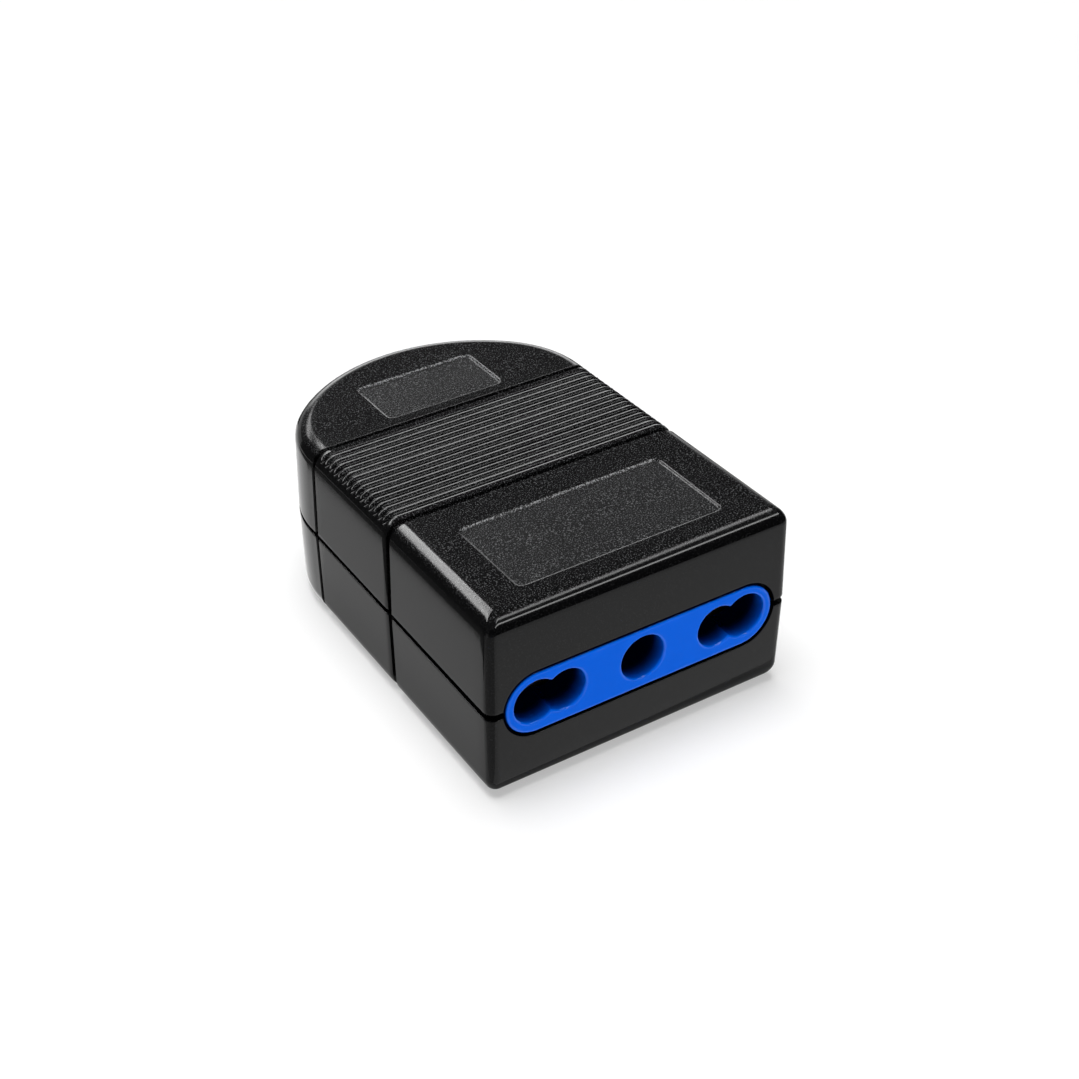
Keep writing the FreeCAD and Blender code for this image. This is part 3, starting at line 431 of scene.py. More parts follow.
class Shell:
    """Half of the casing: a ring of sections round the outline, closed by an outer and an inner cap."""

    def __init__(self, upper):
        self.upper = upper
        self.way = 1 if upper else -1
        self.rise = UPPER_HEIGHT if upper else LOWER_HEIGHT
        self.outline = Outline(self.rise, TOP_RADIUS if upper else BASE_RADIUS, row_places(upper))
        self.skin = Skin()
        self.ring = self.make_ring()

    def height(self, behind):
        """Height of the flat top above the parting plane, or of the base below it."""
        return self.rise - TOP_FALL * self.upper * behind / LENGTH

    def inside(self, x, behind):
        """Level of the roof or floor inside the shell."""
        return self.height(behind) - WALL

    def place(self, x, behind, level, grain):
        """Adds points given by x, distance behind the front and distance from the parting plane."""
        return self.skin.add(x, behind + FRONT, PARTING + self.way * level, grain)

    def lower_edge(self, x, behind):
        """Level of the shell's edge: the parting plane, raised round the face cut-out and the inlet."""
        front, crown = self.outline.parts[0], self.outline.parts[-1]
        edge = np.zeros(self.outline.total)
        past = np.clip(self.outline.front - FACE_END, 0, FACE_RADIUS)
        edge[front] = np.sqrt(FACE_RADIUS ** 2 - past ** 2) * (1 - self.way * FACE_DROP / FACE_RADIUS)
        edge[crown] = np.sqrt(np.clip(INLET_RADIUS ** 2 - x[crown] ** 2, 0, None))
        return edge

    def make_ring(self):
        """Sections from the inner roof down the inner wall, round the seam edge, up the draft and over."""
        o = self.outline
        radius = o.radius
        front, corner, rows = o.parts[:3]
        face_edge = FACE_END + FACE_RADIUS
        gap = np.full(o.total, SEAM_GAP)
        gap[front] = NOTCH_HEIGHT * smooth(face_edge - 0.1, face_edge + 0.05, o.front)
        gap[corner] = NOTCH_HEIGHT
        gap[rows] += (NOTCH_HEIGHT - SEAM_GAP) * np.exp(-(o.rows - o.start) / NOTCH_RUN)
        fall, rib, plain = np.zeros((3, o.total))
        fall[rows] = groove_fall(o.rows)
        if self.upper:
            rib[rows] = rib_fall(o.rows)
        plain[front] = plain[corner] = 1.0
        plain[rows] = 1 - smooth(0.0, 2.0, o.rows - o.start)
        lines = []

        def section(inset, level, keep_front=False, grain=0.0):
            x, behind = o.at(inset)
            if keep_front:
                depth = np.broadcast_to(inset, o.total)[front]
                inner = HALF_WIDTH - depth - o.corner_round(depth)
                share = (inner - face_edge) / (o.front[-1] - face_edge)
                x[front] = np.where(o.front > face_edge, face_edge + (o.front - face_edge) * share, o.front)
            lines.append((x, behind, level(x, behind), np.broadcast_to(grain, o.total)))

        section(WALL, self.inside, True)
        section(WALL, self.lower_edge, True)
        section(NOTCH_DEPTH, self.lower_edge, True)
        section(NOTCH_DEPTH, lambda x, b: self.lower_edge(x, b) + gap, True)
        foot_level = radius * (1 - math.sin(DRAFT))
        wall_inset = o.foot - radius * math.cos(DRAFT)
        outer_x, outer_behind = o.at(0.0)
        edge_level = self.lower_edge(outer_x, outer_behind) + gap + SEAM_ROUND
        edge_inset = wall_inset * edge_level / (self.height(outer_behind) - foot_level)
        for turn in np.radians(np.linspace(0.0, 90.0, 5)):
            inset = edge_inset + SEAM_ROUND * (1 - math.sin(turn)) + fall
            rise = SEAM_ROUND * (1 - math.cos(turn))
            section(inset, lambda x, b: self.lower_edge(x, b) + gap + rise, True, WALL_GRAIN)
        for share in (0.03, 0.35, 0.7, 1.0):
            inset = edge_inset + (wall_inset - edge_inset) * share + fall

            def level(x, b):
                low = self.lower_edge(x, b) + gap + SEAM_ROUND
                return low + (self.height(b) - foot_level - low) * share

            section(inset, level, share < 0.1, WALL_GRAIN)
        for turn in np.radians(join([6.0], np.linspace(12.0, 84.0, 19), [90.0])):
            drop = fall + rib * smooth(*CHANNEL_TURN, turn)
            inset = o.foot - radius * math.cos(turn) + drop * math.cos(turn)
            rise = radius * (1 - math.sin(turn)) + drop * math.sin(turn)
            late, soon = smooth(*GRAIN_LATE, turn), smooth(*GRAIN_SOON, turn)
            grain = WALL_GRAIN + (TOP_GRAIN - WALL_GRAIN) * (plain * late + (1 - plain) * soon)
            section(inset, lambda x, b: self.height(b) - rise, False, grain)
        x, behind, level, grain = (np.array(v) for v in zip(*lines))
        ring = self.place(mirrored(x, -1), mirrored(behind), mirrored(level), mirrored(grain))
        self.skin.quads(closed(ring), not self.upper)
        self.lines = (x, behind)
        return ring

    def cap(self, line, columns, level, flip, hole=None, grain=None):
        """Closes one line of the ring with rows across it; a hole leaves room for a screw boss.

        Columns are functions of a row's half width. The strip along the front is zipped to the first row,
        and the crown is a fan. A hole is its reach along the rows and its first and last column.
        """
        o = self.outline
        x, behind = (v[line] for v in self.lines)
        first = o.parts[2].start
        row_x, row_y = x[first + 1:-1], behind[first + 1:-1]
        inside = columns(row_x)
        full_x = join(-inside[:, :0:-1], inside, axis=1)
        full_y = row_y[:, None]
        tone = TOP_GRAIN if grain is None else grain(full_x, full_y)
        middle = self.place(full_x, full_y, level(full_x, full_y), tone)
        ring = self.ring[line]
        stations = np.arange(first + 1, o.total - 1)[:, None]
        grid = join(ring[-stations], middle, ring[stations], axis=1)
        keep = np.ones((grid.shape[0] - 1, grid.shape[1] - 1), bool)
        patches = []
        if hole:
            reach, low, high = hole
            top = np.searchsorted(row_y, BOSS_BEHIND - reach) - 1
            end = np.searchsorted(row_y, BOSS_BEHIND + reach)
            centre = grid.shape[1] // 2
            for side in (-1, 1):
                a, b = sorted((centre + side * low, centre + side * high))
                keep[top:end, a:b] = False
                edge = join(grid[top, a:b], grid[top:end, b], grid[end, b:a:-1], grid[end:top:-1, a])
                patches.append((side, edge))
        self.skin.quads(grid, flip, keep)
        strip = ring[np.arange(-first, first + 1)]
        strip_x = join(-x[first:0:-1], x[:first + 1])
        row_at = join([-row_x[0]], full_x[0], [row_x[0]])
        self.skin.zip(strip, grid[0], strip_x / strip_x[-1], row_at / row_at[-1], flip)
        self.skin.fan(grid[-1], ring[o.total - 1], flip)
        return patches

    def rings_round(self, side, edge, *profile):
        """Circles round a screw axis, one for each radius and height of a profile, joined in order.

        The first circle is zipped to the edge of a cap's hole.
        """
        angle = np.radians(np.arange(0.0, 360.0, 7.5))
        radius, height = np.array(profile).T[:, :, None]
        centre = (side * BOSS_X, BOSS_BEHIND + FRONT)
        x, y = polar(radius, angle)
        rings = self.skin.add(centre[0] + x, centre[1] + y, height)
        self.skin.quads(closed(rings), True)
        self.skin.zip_round(edge, rings[0], centre, True)
        return rings, centre


def panel_columns(half):
    """Columns of the top: at fixed places over the panels, drawn in where the rounded back is narrow."""
    inner, outer, edge = 8.2, 13.2, 16.4
    steps = [np.arange(0.0, 6.4, 1.25), (inner, 9.4, 10.6), (outer, 14.0, 14.8, 15.6)]
    for panel in (REAR_PANEL, FRONT_PANEL):
        steps += [spread(panel[0], EDGE_STEPS), panel[0] - np.arange(0.1, 1.0, 0.12)]
    x = thinned(steps)
    half = half[:, None]
    near = np.minimum(inner, 0.72 * half)
    far = np.minimum(outer, near + 0.66 * (half - near))
    low = x * near / inner
    mid = near + (x - inner) / (outer - inner) * (far - near)
    high = far + (x - outer) / (edge - outer) * (half - far)
    return np.where(x <= inner, low, np.where(x <= outer, mid, high))


def share_columns(shares):
    """Columns at fixed shares of each row's half width."""
    return lambda half: half[:, None] * np.array(shares)


# Columns of the inner caps, and the holes left in the caps for screw bosses and head recesses
INSIDE_COLUMNS = share_columns((0.0, 0.22, 0.42, 0.6, 0.78, 0.95))
BOSS_HOLE = (BOSS_RADIUS + 0.3, 2, 5)
HEAD_HOLE = (HEAD_RADIUS + 0.25, 3, 6)


def block(skin, low, high, tone=0.0):
    """A closed box between two corners, of one tone."""
    x, y, z = (np.array(v, float) for v in zip(low, high))
    top, base = (skin.add(x[[0, 1, 1, 0]], y[[0, 0, 1, 1]], level, tone) for level in z[::-1])
    skin.put(top[None, :])
    skin.put(base[None, :], True)
    skin.put(np.stack([base, np.roll(base, -1), np.roll(top, -1), top], -1))


def saddle(skin):
    """Cable saddle: a bar across the casing with a round channel for the cable in its top."""
    near, far = SADDLE_NEAR + FRONT, SADDLE_FAR + FRONT
    low = SADDLE_SHOULDER - PARTING
    turn = math.atan2(low, math.sqrt(INLET_RADIUS ** 2 - low ** 2))
    x, z = polar(INLET_RADIUS, np.linspace(turn, -math.pi - turn, 21))
    x = join([SADDLE_HALF], x, [-SADDLE_HALF])
    z = join([SADDLE_SHOULDER], PARTING + z, [SADDLE_SHOULDER])
    foot = np.full_like(z, BAR_FOOT)
    grid = np.array([skin.add(x, y, v) for y, v in ((near, foot), (near, z), (far, z), (far, foot))])
    skin.quads(join(grid, grid[:1]), True)
    for column, flip in ((0, True), (-1, False)):
        skin.put(grid[None, :, column], flip)


def upper_shell():
    """Upper half: ribbed, grooved and panelled top, carrier ribs and blind screw bosses inside."""
    shell = Shell(True)

    def level(x, behind):
        fall = np.maximum(groove_fall(behind), rib_fall(behind))
        return shell.height(behind) - fall * (behind < ARCH_START) - PANEL_DEPTH * panel_cover(x, behind)

    def grain(x, behind):
        # Panel grain, with the painted rim highlight added on top
        return TOP_GRAIN + (1 - TOP_GRAIN) * panel_cover(x, behind) + painted_rim_highlight(x, behind)

    shell.cap(OUTER, panel_columns, level, False, grain=grain)
    roof_z = PARTING + shell.height(BOSS_BEHIND) - WALL
    for side, edge in shell.cap(INNER, INSIDE_COLUMNS, shell.inside, True, BOSS_HOLE):
        rings, centre = shell.rings_round(side, edge, (BOSS_RADIUS, roof_z), (BOSS_RADIUS, PARTING),
                                          (SHANK_RADIUS, PARTING), (SHANK_RADIUS, PILOT_TOP))
        shell.skin.fan(closed(rings)[-1], shell.skin.add(*centre, PILOT_TOP), True)
    roof_top = PARTING + UPPER_HEIGHT - WALL + ROOF_BAR_LAP
    for near in ROOF_BARS:
        block(shell.skin, (-BAR_HALF, near + FRONT, ROOF_BAR_LOW),
              (BAR_HALF, near + BAR_THICK + FRONT, roof_top))
    return shell.skin.build("upper_casing")


def lower_shell():
    """Lower half: plain grooved tray with counterbored screw bosses, carrier seats and cable saddle."""
    shell = Shell(False)
    base = share_columns((0.0, 0.17, 0.34, 0.5, 0.65, 0.8, 0.96))

    def level(x, behind):
        return shell.height(behind) - groove_fall(behind) * (behind < ARCH_START)

    outer = shell.cap(OUTER, base, level, True, HEAD_HOLE)
    inner = shell.cap(INNER, INSIDE_COLUMNS, shell.inside, False, BOSS_HOLE)
    for (side, base_edge), (_, floor_edge) in zip(outer, inner):
        rings, centre = shell.rings_round(
            side, base_edge, (HEAD_RADIUS + HEAD_BEVEL, 0.0), (HEAD_RADIUS, HEAD_BEVEL),
            (HEAD_RADIUS, HEAD_SEAT), (SHANK_RADIUS, HEAD_SEAT), (SHANK_RADIUS, PARTING),
            (BOSS_RADIUS, PARTING), (BOSS_RADIUS, WALL))
        shell.skin.zip_round(floor_edge, rings[-1], centre)
    for near, half, top in FLOOR_BARS:
        block(shell.skin, (-half, near + FRONT, BAR_FOOT), (half, near + BAR_THICK + FRONT, top))
    saddle(shell.skin)
    return shell.skin.build("lower_casing")


def pin_hole(angle, line, grow):
    """Distance from a hole's middle to its edge: one circle, or the two joined circles of a keyhole.

    The keyhole is the larger of two circle distances, blended smoothly where the circles cross.
    """
    if not line:
        return np.full_like(angle, EARTH_HOLE + grow)
    across, up = polar(PIN_OFFSET, angle)
    large = across + np.sqrt((LARGE_HOLE + grow) ** 2 - up ** 2)
    small = -across + np.sqrt((SMALL_HOLE + grow) ** 2 - up ** 2)
    return (large + small + np.sqrt((large - small) ** 2 + WAIST_ROUND ** 2)) / 2


def face_loop(line, rise, nose):
    """Closed loop counter-clockwise about a pin hole's middle; the middle hole's starts at its right.

    The middle zone is a rectangle between the dividing lines. The line zone runs from its dividing line to
    the end of the face: a half circle on the nose, which sits low, or the web's straight edge.
    """
    half = LINE_X / 2
    split = np.linspace(-rise, rise, 17)
    edge_x, edge_z = 0 * split, split
    stop = CARRIER_HALF - LINE_X if line else half
    if line and nose:
        stop = FACE_END - LINE_X
        edge_x, edge_z = polar(rise, np.radians(np.linspace(-90.0, 90.0, 41)))
    along = np.linspace(-half, stop, 21 if line else 25)
    x = join(along[:-1], edge_x + stop, along[-2::-1], 0 * split[-2:0:-1] - half)
    z = join(0 * along[:-1] - rise, edge_z, 0 * along[:-1] + rise, split[-2:0:-1])
    return np.roll((x, z - FACE_DROP * nose), 0 if line else 1 - len(along), 1)


def plate(skin, nose, rise, front, back, nose_round, mouth_round, grow):
    """A closed plate with the three pin holes: flat rings from each hole to its share of the outline,
    quarter rounds at the hole mouths and round the front edge, hole walls and outer wall.

    The tone is 1 on the polished rounds, 0 on the nose's flat, and falls to -1 down the holes and round the
    edge; the web's flats are -1 too. Below 0 the tone is painted shade, which darkens the blue.
    """
    quarter = np.radians(np.linspace(0.0, 90.0, 7))
    share = np.array((0.0, 0.04, 0.35, 0.68, 0.96, 1.0))[:, None]
    for line, sign in ((False, 1), (True, 1), (True, -1)):
        shift = LINE_X if line else 0.0

        def rings(x, z, y, flip, tone, keep=None):
            grid = skin.add(sign * (x + shift), y + FRONT, z + PARTING, tone)
            skin.quads(closed(grid), flip != (sign < 0), keep)

        def flat(x, z, reach, y, flip, tone):
            hole_x, hole_z = polar(reach, angle)
            rings(hole_x + (x - hole_x) * share, hole_z + (z - hole_z) * share, y + 0 * share, flip, tone)

        x, z = face_loop(line, rise - nose_round, nose)
        angle = np.arctan2(z, x)
        flat(x, z, pin_hole(angle, line, grow + mouth_round), front, True, nose - 1.0)
        reach = np.array([pin_hole(angle, line, grow + mouth_round * (1 - math.sin(t))) for t in quarter])
        depth = front + mouth_round * (1 - np.cos(quarter))
        steps = np.linspace(depth[-1], back, 6)[1:]
        reach = join(reach, np.repeat(reach[-1:], len(steps), 0))
        depth = join(depth, steps)[:, None]
        # Polished at the mouth, then painted shade down the hole
        tone = np.where(depth < mouth_round, 1.0, -smooth(mouth_round, HOLE_PAINTED_SHADE, depth))
        rings(*polar(reach, angle), depth, False, tone)
        # Back of the plate: painted shade
        flat(*face_loop(line, rise, nose), reach[-1], back, False, -1.0)
        edges = [face_loop(line, rise - nose_round * (1 - math.sin(t)), nose) for t in quarter]
        edges.append(face_loop(line, rise, nose))
        depth = np.append(front + nose_round * (1 - np.cos(quarter)), back)[:, None]
        x, z = (np.array(v) for v in zip(*edges))
        # Polished on the nose's front edge, painted shade over the rest of the round and on the web's rim
        tone = nose - (1 + nose) * smooth(0.06, 0.4, (depth - front) / nose_round)
        dividing = np.abs(np.abs(x + shift) - LINE_X / 2) < 1e-6
        within = np.abs(z) < rise - nose_round - FACE_DROP - 0.001
        tone = np.where(dividing & within, nose - 1.0, tone)
        dividing = closed(dividing)[:-1]
        rings(x, z, depth, True, tone, ~(dividing[:, :-1] & dividing[:, 1:]))


def socket_carrier():
    """Blue carrier: nose with rounded rims, front web, chamber walls, tray and the two fences on it."""
    skin = Skin()
    plate(skin, True, NOSE_RADIUS, NOSE_FRONT, NOSE_BACK, NOSE_ROUND, MOUTH_ROUND, 0.0)
    plate(skin, False, CARRIER_RISE, WEB_FRONT, WEB_BACK, WEB_ROUND, WEB_ROUND, WEB_SLACK)
    base, top = PARTING - CARRIER_RISE, PARTING + CARRIER_RISE
    low, high = PARTING - CHAMBER_RISE, PARTING + CHAMBER_RISE
    near, far, end = (v + FRONT for v in (WEB_BACK - LAP, CARRIER_BACK, TRAY_BACK))
    # Blocks behind the face carry -1: painted shade darkens them
    block(skin, (-CARRIER_HALF, near, base), (CARRIER_HALF, end, low), -1.0)
    block(skin, (-CARRIER_HALF, near, high), (CARRIER_HALF, far, top), -1.0)
    for left, right in CHAMBER_WALLS:
        block(skin, (left, near, low - LAP), (right, far, high + LAP), -1.0)
    for middle in (-LINE_X / 2, LINE_X / 2):
        block(skin, (middle - FENCE_HALF, far - LAP, low - LAP), (middle + FENCE_HALF, end, FENCE_TOP), -1.0)
    return skin.build("socket_face", 35.0)


# Shader node groups


class Nodes:
    """The shader nodes of one tree; a value for an input is a socket, a number or a tuple."""

    def __init__(self, tree):
        self.tree = tree

    def link(self, value, slot):
        """Links a socket to an input, or sets the input to a plain value."""
        if isinstance(value, (int, float, tuple)):
            slot.default_value = value
        else:
            self.tree.links.new(value, slot)

    def fill(self, node, **values):
        """Gives values to a node's inputs of those names."""
        for label, value in values.items():
            self.link(value, node.inputs[label.replace("_", " ")])

    def new(self, kind, group=None, **values):
        """A new node, or a node group, with values for its inputs."""
        node = self.tree.nodes.new("ShaderNode" + kind)
        if group:
            node.node_tree = group
        self.fill(node, **values)
        return node

    def math(self, operation, *values, kind="Math"):
        """Value of a Math or VectorMath node."""
        node = self.new(kind)
        node.operation = operation
        for slot, value in zip(node.inputs, values):
            self.link(value, slot)
        return node.outputs["Value"]

    def noise(self, vector, scale, detail, roughness):
        """Value of a noise texture on a vector socket."""
        return self.new("TexNoise", Vector=vector, Scale=scale, Detail=detail, Roughness=roughness).outputs[0]

    def remap(self, value, low, high, to_low, to_high):
        """Map Range from low..high to to_low..to_high, clamped."""
        return self.new("MapRange", Value=value, From_Min=low, From_Max=high, To_Min=to_low,
                        To_Max=to_high).outputs[0]

    def mixed(self, factor, first, second):
        """Colour mix of two plain colours by a factor socket."""
        node = self.new("Mix")
        node.data_type = "RGBA"
        self.fill(node, Factor=factor, A=(*first, 1.0), B=(*second, 1.0))
        return node.outputs["Result"]

    def tone(self):
        """The value that the mesh's points carry: grain amount and painted rim highlight on the casing,
        polish and painted shade on the carrier.
        """
        node = self.new("Attribute")
        node.attribute_name = "grain"
        return node.outputs["Fac"]

    def surface(self, colour, roughness, marks, height, strength, distance, **others):
        """Gives the shader its colour, its roughness shifted by the marks, its bump and other values."""
        rough = self.math("ADD", roughness, marks["Roughness Shift"])
        bump = self.new("Bump", Strength=strength, Distance=distance, Height=height).outputs[0]
        shader = self.tree.nodes["Principled BSDF"]
        self.fill(shader, Base_Color=colour, Roughness=rough, Normal=bump, **others)


def new_group(name, outputs, **inputs):
    """A shader group with a Vector input, number inputs with defaults, and number outputs.

    Returns the group, its nodes, the sockets to read from and the sockets to write to.
    """
    group = bpy.data.node_groups.new(name, "ShaderNodeTree")
    socket = group.interface.new_socket
    socket("Vector", in_out="INPUT", socket_type="NodeSocketVector")
    for label, default in inputs.items():
        socket(label, in_out="INPUT", socket_type="NodeSocketFloat").default_value = default
    for label in outputs:
        socket(label, in_out="OUTPUT", socket_type="NodeSocketFloat")
    enter, leave = group.nodes.new("NodeGroupInput"), group.nodes.new("NodeGroupOutput")
    return group, Nodes(group), enter.outputs, leave.inputs


def spark_grain_group():
    """Eroded mould grain: fine pebbles and pits as height, and a mask of the brightest crests, which are
    painted pale as glints.

    Where Amount is about 1 the mask is drawn towards its mean, which paints an even sheen; above 1 more
    crests are painted pale, as a painted highlight.
    """
    outputs = ("Height", "Painted_Glints", "Drift")
    group, nodes, enter, leave = new_group("spark_grain", outputs, Scale=3000.0, Amount=1.0)
    vector, scale, amount = enter["Vector"], enter["Scale"], enter["Amount"]
    crest_mean, crest_low, crest_run, over_fall = 0.1, 0.74, 0.09, -0.18
    fine = nodes.noise(vector, scale, 2.0, 0.6)
    coarse = nodes.noise(vector, nodes.math("MULTIPLY", scale, 0.4), 2.0, 0.5)
    both = nodes.math("MULTIPLY_ADD", coarse, 0.3, fine)
    nodes.link(nodes.math("MULTIPLY", both, amount), leave["Height"])
    # Above Amount 1 more crests are painted pale, for the rim highlight; near 1 the mask is drawn to its
    # mean, for the panels' painted sheen
    low = nodes.math("MULTIPLY_ADD", nodes.math("MAXIMUM", amount, 1.0), over_fall, crest_low)
    crest = nodes.remap(fine, low, nodes.math("ADD", low, crest_run), 0.0, 1.0)
    apart = nodes.math("ABSOLUTE", nodes.math("SUBTRACT", amount, 1.0))
    calm = nodes.remap(apart, 0.0, 0.3, 0.5, 0.0)
    crest = nodes.math("MULTIPLY_ADD", calm, nodes.math("SUBTRACT", crest_mean, crest), crest)
    nodes.link(nodes.math("MULTIPLY", crest, amount), leave["Painted_Glints"])
    nodes.link(nodes.noise(vector, 90.0, 4.0, 0.6), leave["Drift"])
    return group


def handling_group():
    """Handling marks: short fine scratches and soft smudges, as a roughness change and a scratch mask."""
    outputs = ("Roughness Shift", "Scratch")
    group, nodes, enter, leave = new_group("handling_marks", outputs, Strength=0.1)
    vector = enter["Vector"]
    stretch = nodes.new("Mapping", Vector=vector, Scale=(1.0, 14.0, 1.0), Rotation=(0.0, 0.3, 0.6))
    hair = nodes.noise(stretch.outputs[0], 260.0, 2.0, 0.6)
    smudge = nodes.noise(vector, 110.0, 4.0, 0.62)
    shift = nodes.math("MULTIPLY", nodes.math("SUBTRACT", smudge, 0.5), enter["Strength"])
    nodes.link(shift, leave["Roughness Shift"])
    nodes.link(nodes.remap(hair, 0.70, 0.78, 0.0, 1.0), leave["Scratch"])
    return group


GRAIN = spark_grain_group()
HANDLING = handling_group()


def new_material(name, scale, wear, amount=None):
    """A material with mould grain and handling marks in the object's coordinates.

    Without an amount the grain follows the mesh's own. Returns material, nodes, grain and marks.
    """
    material = bpy.data.materials.new(name)
    material.use_nodes = True
    nodes = Nodes(material.node_tree)
    where = nodes.new("TexCoord").outputs["Object"]
    amount = nodes.tone() if amount is None else amount
    grain = nodes.new("Group", GRAIN, Vector=where, Scale=scale, Amount=amount)
    marks = nodes.new("Group", HANDLING, Vector=where, Strength=wear)
    return material, nodes, grain.outputs, marks.outputs


def casing_plastic():
    """Black moulded plastic: smooth sides and spark-eroded grain on top, whose crests are painted pale as
    glints; an even painted sheen on the panels and a painted highlight along their rims.
    """
    material, nodes, grain, marks = new_material("black_casing_plastic", 6500.0, 0.06)
    # Near black, with the grain's crests painted pale grey as glints
    colour = nodes.mixed(grain["Painted_Glints"], (0.002, 0.002, 0.0022), (0.2, 0.203, 0.208))
    base = nodes.remap(nodes.tone(), 0.1, 1.0, 0.1, 0.17)
    nodes.surface(colour, base, marks, grain["Height"], 0.3, 0.00005, IOR=1.3)
    return material


def carrier_plastic():
    """Blue glossy moulding with faint flow drift and a very fine skin.

    The rims of the face are polished; down the pin holes, round the back of the nose's edge and behind the
    face the blue is darkened as painted shade.
    """
    material, nodes, grain, marks = new_material("blue_carrier_plastic", 1500.0, 0.08, 0.4)
    tone = nodes.tone()
    drift = nodes.remap(grain["Drift"], 0.0, 1.0, 0.93, 1.0)
    clear = nodes.math("MULTIPLY", nodes.remap(tone, -1.0, 0.0, 0.0, 1.0), drift)
    # Painted shade: dark blue mixed in where the tone is below 0
    colour = nodes.mixed(clear, (0.0, 0.003, 0.025), (0.0, 0.14, 0.9))
    polish = nodes.remap(tone, 0.0, 1.0, 0.0, 0.55)
    nodes.surface(colour, 0.1, marks, grain["Height"], 0.04, 0.00003, IOR=1.12, Coat_Weight=polish,
                  Coat_Roughness=0.08)
    return material


def bare_metal(name, pale, dark, roughness):
    """Brass or zinc plate: pressed or turned metal with drifted tarnish, fine lines and scuffs."""
    material, nodes, grain, marks = new_material(name, 2200.0, 0.25, 0.5)
    colour = nodes.mixed(grain["Drift"], dark, pale)
    height = nodes.math("MULTIPLY_ADD", marks["Scratch"], -0.4, grain["Height"])
    nodes.surface(colour, roughness, marks, height, 0.15, 0.00003, Metallic=1.0)
    return material


def clamp_plastic():
    """Black nylon of the cable clamp, matt with a faint mottle."""
    material, nodes, grain, marks = new_material("clamp_nylon", 1800.0, 0.15, 0.6)
    colour = nodes.mixed(grain["Drift"], (0.042, 0.042, 0.044), (0.058, 0.058, 0.06))
    nodes.surface(colour, 0.48, marks, grain["Height"], 0.2, 0.00005)
    return material


MATERIALS = {
    "casing_plastic": casing_plastic(),
    "carrier_plastic": carrier_plastic(),
    "contact_brass": bare_metal("contact_brass", (0.80, 0.58, 0.26), (0.62, 0.42, 0.17), 0.28),
    "terminal_brass": bare_metal("terminal_brass", (0.74, 0.53, 0.24), (0.55, 0.37, 0.15), 0.36),
    "zinc_steel": bare_metal("zinc_steel", (0.66, 0.66, 0.64), (0.48, 0.48, 0.47), 0.33),
    "clamp_plastic": clamp_plastic(),
}


# Pieces


def dress(piece, slot):
    """Gives a piece the material of a slot."""
    piece.data.materials.clear()
    piece.data.materials.append(MATERIALS[slot])


for make, node, slot in ((upper_shell, "upper_shell", "casing_plastic"),
                         (lower_shell, "lower_shell", "casing_plastic"),
                         (socket_carrier, "socket_carrier", "carrier_plastic")):
    moulding = make()
    dress(moulding, slot)
    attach(moulding, "root")
    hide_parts(node)

SLOT_NODES = {
    "contact_brass": ("live_contact", "earth_contact", "neutral_contact"),
    "terminal_brass": ("live_terminal", "earth_terminal", "neutral_terminal"),
    "zinc_steel": ("terminal_screws", "clamp_screws", "casing_screws"),
    "clamp_plastic": ("cable_clamp",),
}
for slot, nodes in SLOT_NODES.items():
    for node in nodes:
        dress(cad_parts[node], slot)


# Stage: white floor that keeps the shadow, white surround, cards and soft boxes; lengths are in metres

FLOOR_RADIUS = 1.6
FLOOR_DROP = 0.00002
FLOOR_COLOUR = (0.5, 0.5, 0.5, 1.0)
FLOOR_GLOW = 0.06
FLOOR_WHITE = 0.37
WHITE_REACH = (0.2, 0.7)
AMBIENT = 0.06
OVERHEAD = 0.12
HORIZON = (-0.02, 0.1)
REAR_GLOW = (0.47, 0.8825, 0.017)
REAR_SPREAD = (0.925, 0.975)
REAR_LEVEL = 3.4
CARD_RADIUS = 0.11
CARD_HEIGHT = 0.075
LAMP_CENTRE = 0.012

# Cards on an arc: name, first and last bearing, level
STANDING_CARDS = (
    ("left_card", -100.0, -26.0, 0.07),
    ("front_card", 95.0, 235.0, 0.003),
)

# Cards on the floor: name, corner, first and last bearing, reach, lift, level
LYING_CARDS = (
    ("corner_card", (-0.0192, -0.0274), -179.0, -65.0, 0.06, 0.0003, 0.5),
    ("wall_card", (-0.0215, -0.0275), 92.0, 182.0, 0.08, 0.0002, 0.95),
    ("shade_card", (-0.0336, -0.014), -95.0, 2.0, 0.09, 0.0001, 0.12),
    ("arch_card", (-0.0184, 0.0119), -26.0, 60.0, 0.08, 0.00005, 1.05),
    ("rim_card", (-0.003, 0.036), -10.0, 100.0, 0.1, 0.00015, 0.12),
)

# Lamps: name, azimuth, elevation, distance, width, height, power, sheen
SOFT_BOXES = (
    ("overhead_box", -40.0, 84.0, 0.7, 0.5, 0.4, 6.9, False),
    ("front_fill", 180.0, 5.0, 0.7, 0.3, 0.1, 1.9, False),
    ("rear_band", -14.0, 44.0, 0.6, 0.6, 0.1, 2.6, True),
    ("arch_band", 4.0, 28.0, 0.6, 0.25, 0.06, 0.25, True),
    ("top_strip", 118.0, 60.0, 0.6, 0.5, 0.06, 0.9, True),
    ("front_strip", 146.0, 39.0, 0.6, 0.5, 0.06, 1.3, True),
)


def stage_piece(name, points, faces):
    """A mesh of the stage with an empty material; returns the object, the nodes and the Surface socket."""
    mesh = bpy.data.meshes.new(name)
    mesh.from_pydata(points.tolist(), [], faces.tolist())
    material = bpy.data.materials.new("studio_" + name)
    material.use_nodes = True
    mesh.materials.append(material)
    nodes = Nodes(material.node_tree)
    nodes.tree.nodes.clear()
    return new_object(name, mesh), nodes, nodes.new("OutputMaterial").inputs["Surface"]


def ray_kinds(nodes):
    """1 for camera rays, and 1 for glossy and transmission rays, else 0."""
    path = nodes.new("LightPath").outputs
    return path["Is Camera Ray"], nodes.math("MAXIMUM", path["Is Glossy Ray"], path["Is Transmission Ray"])


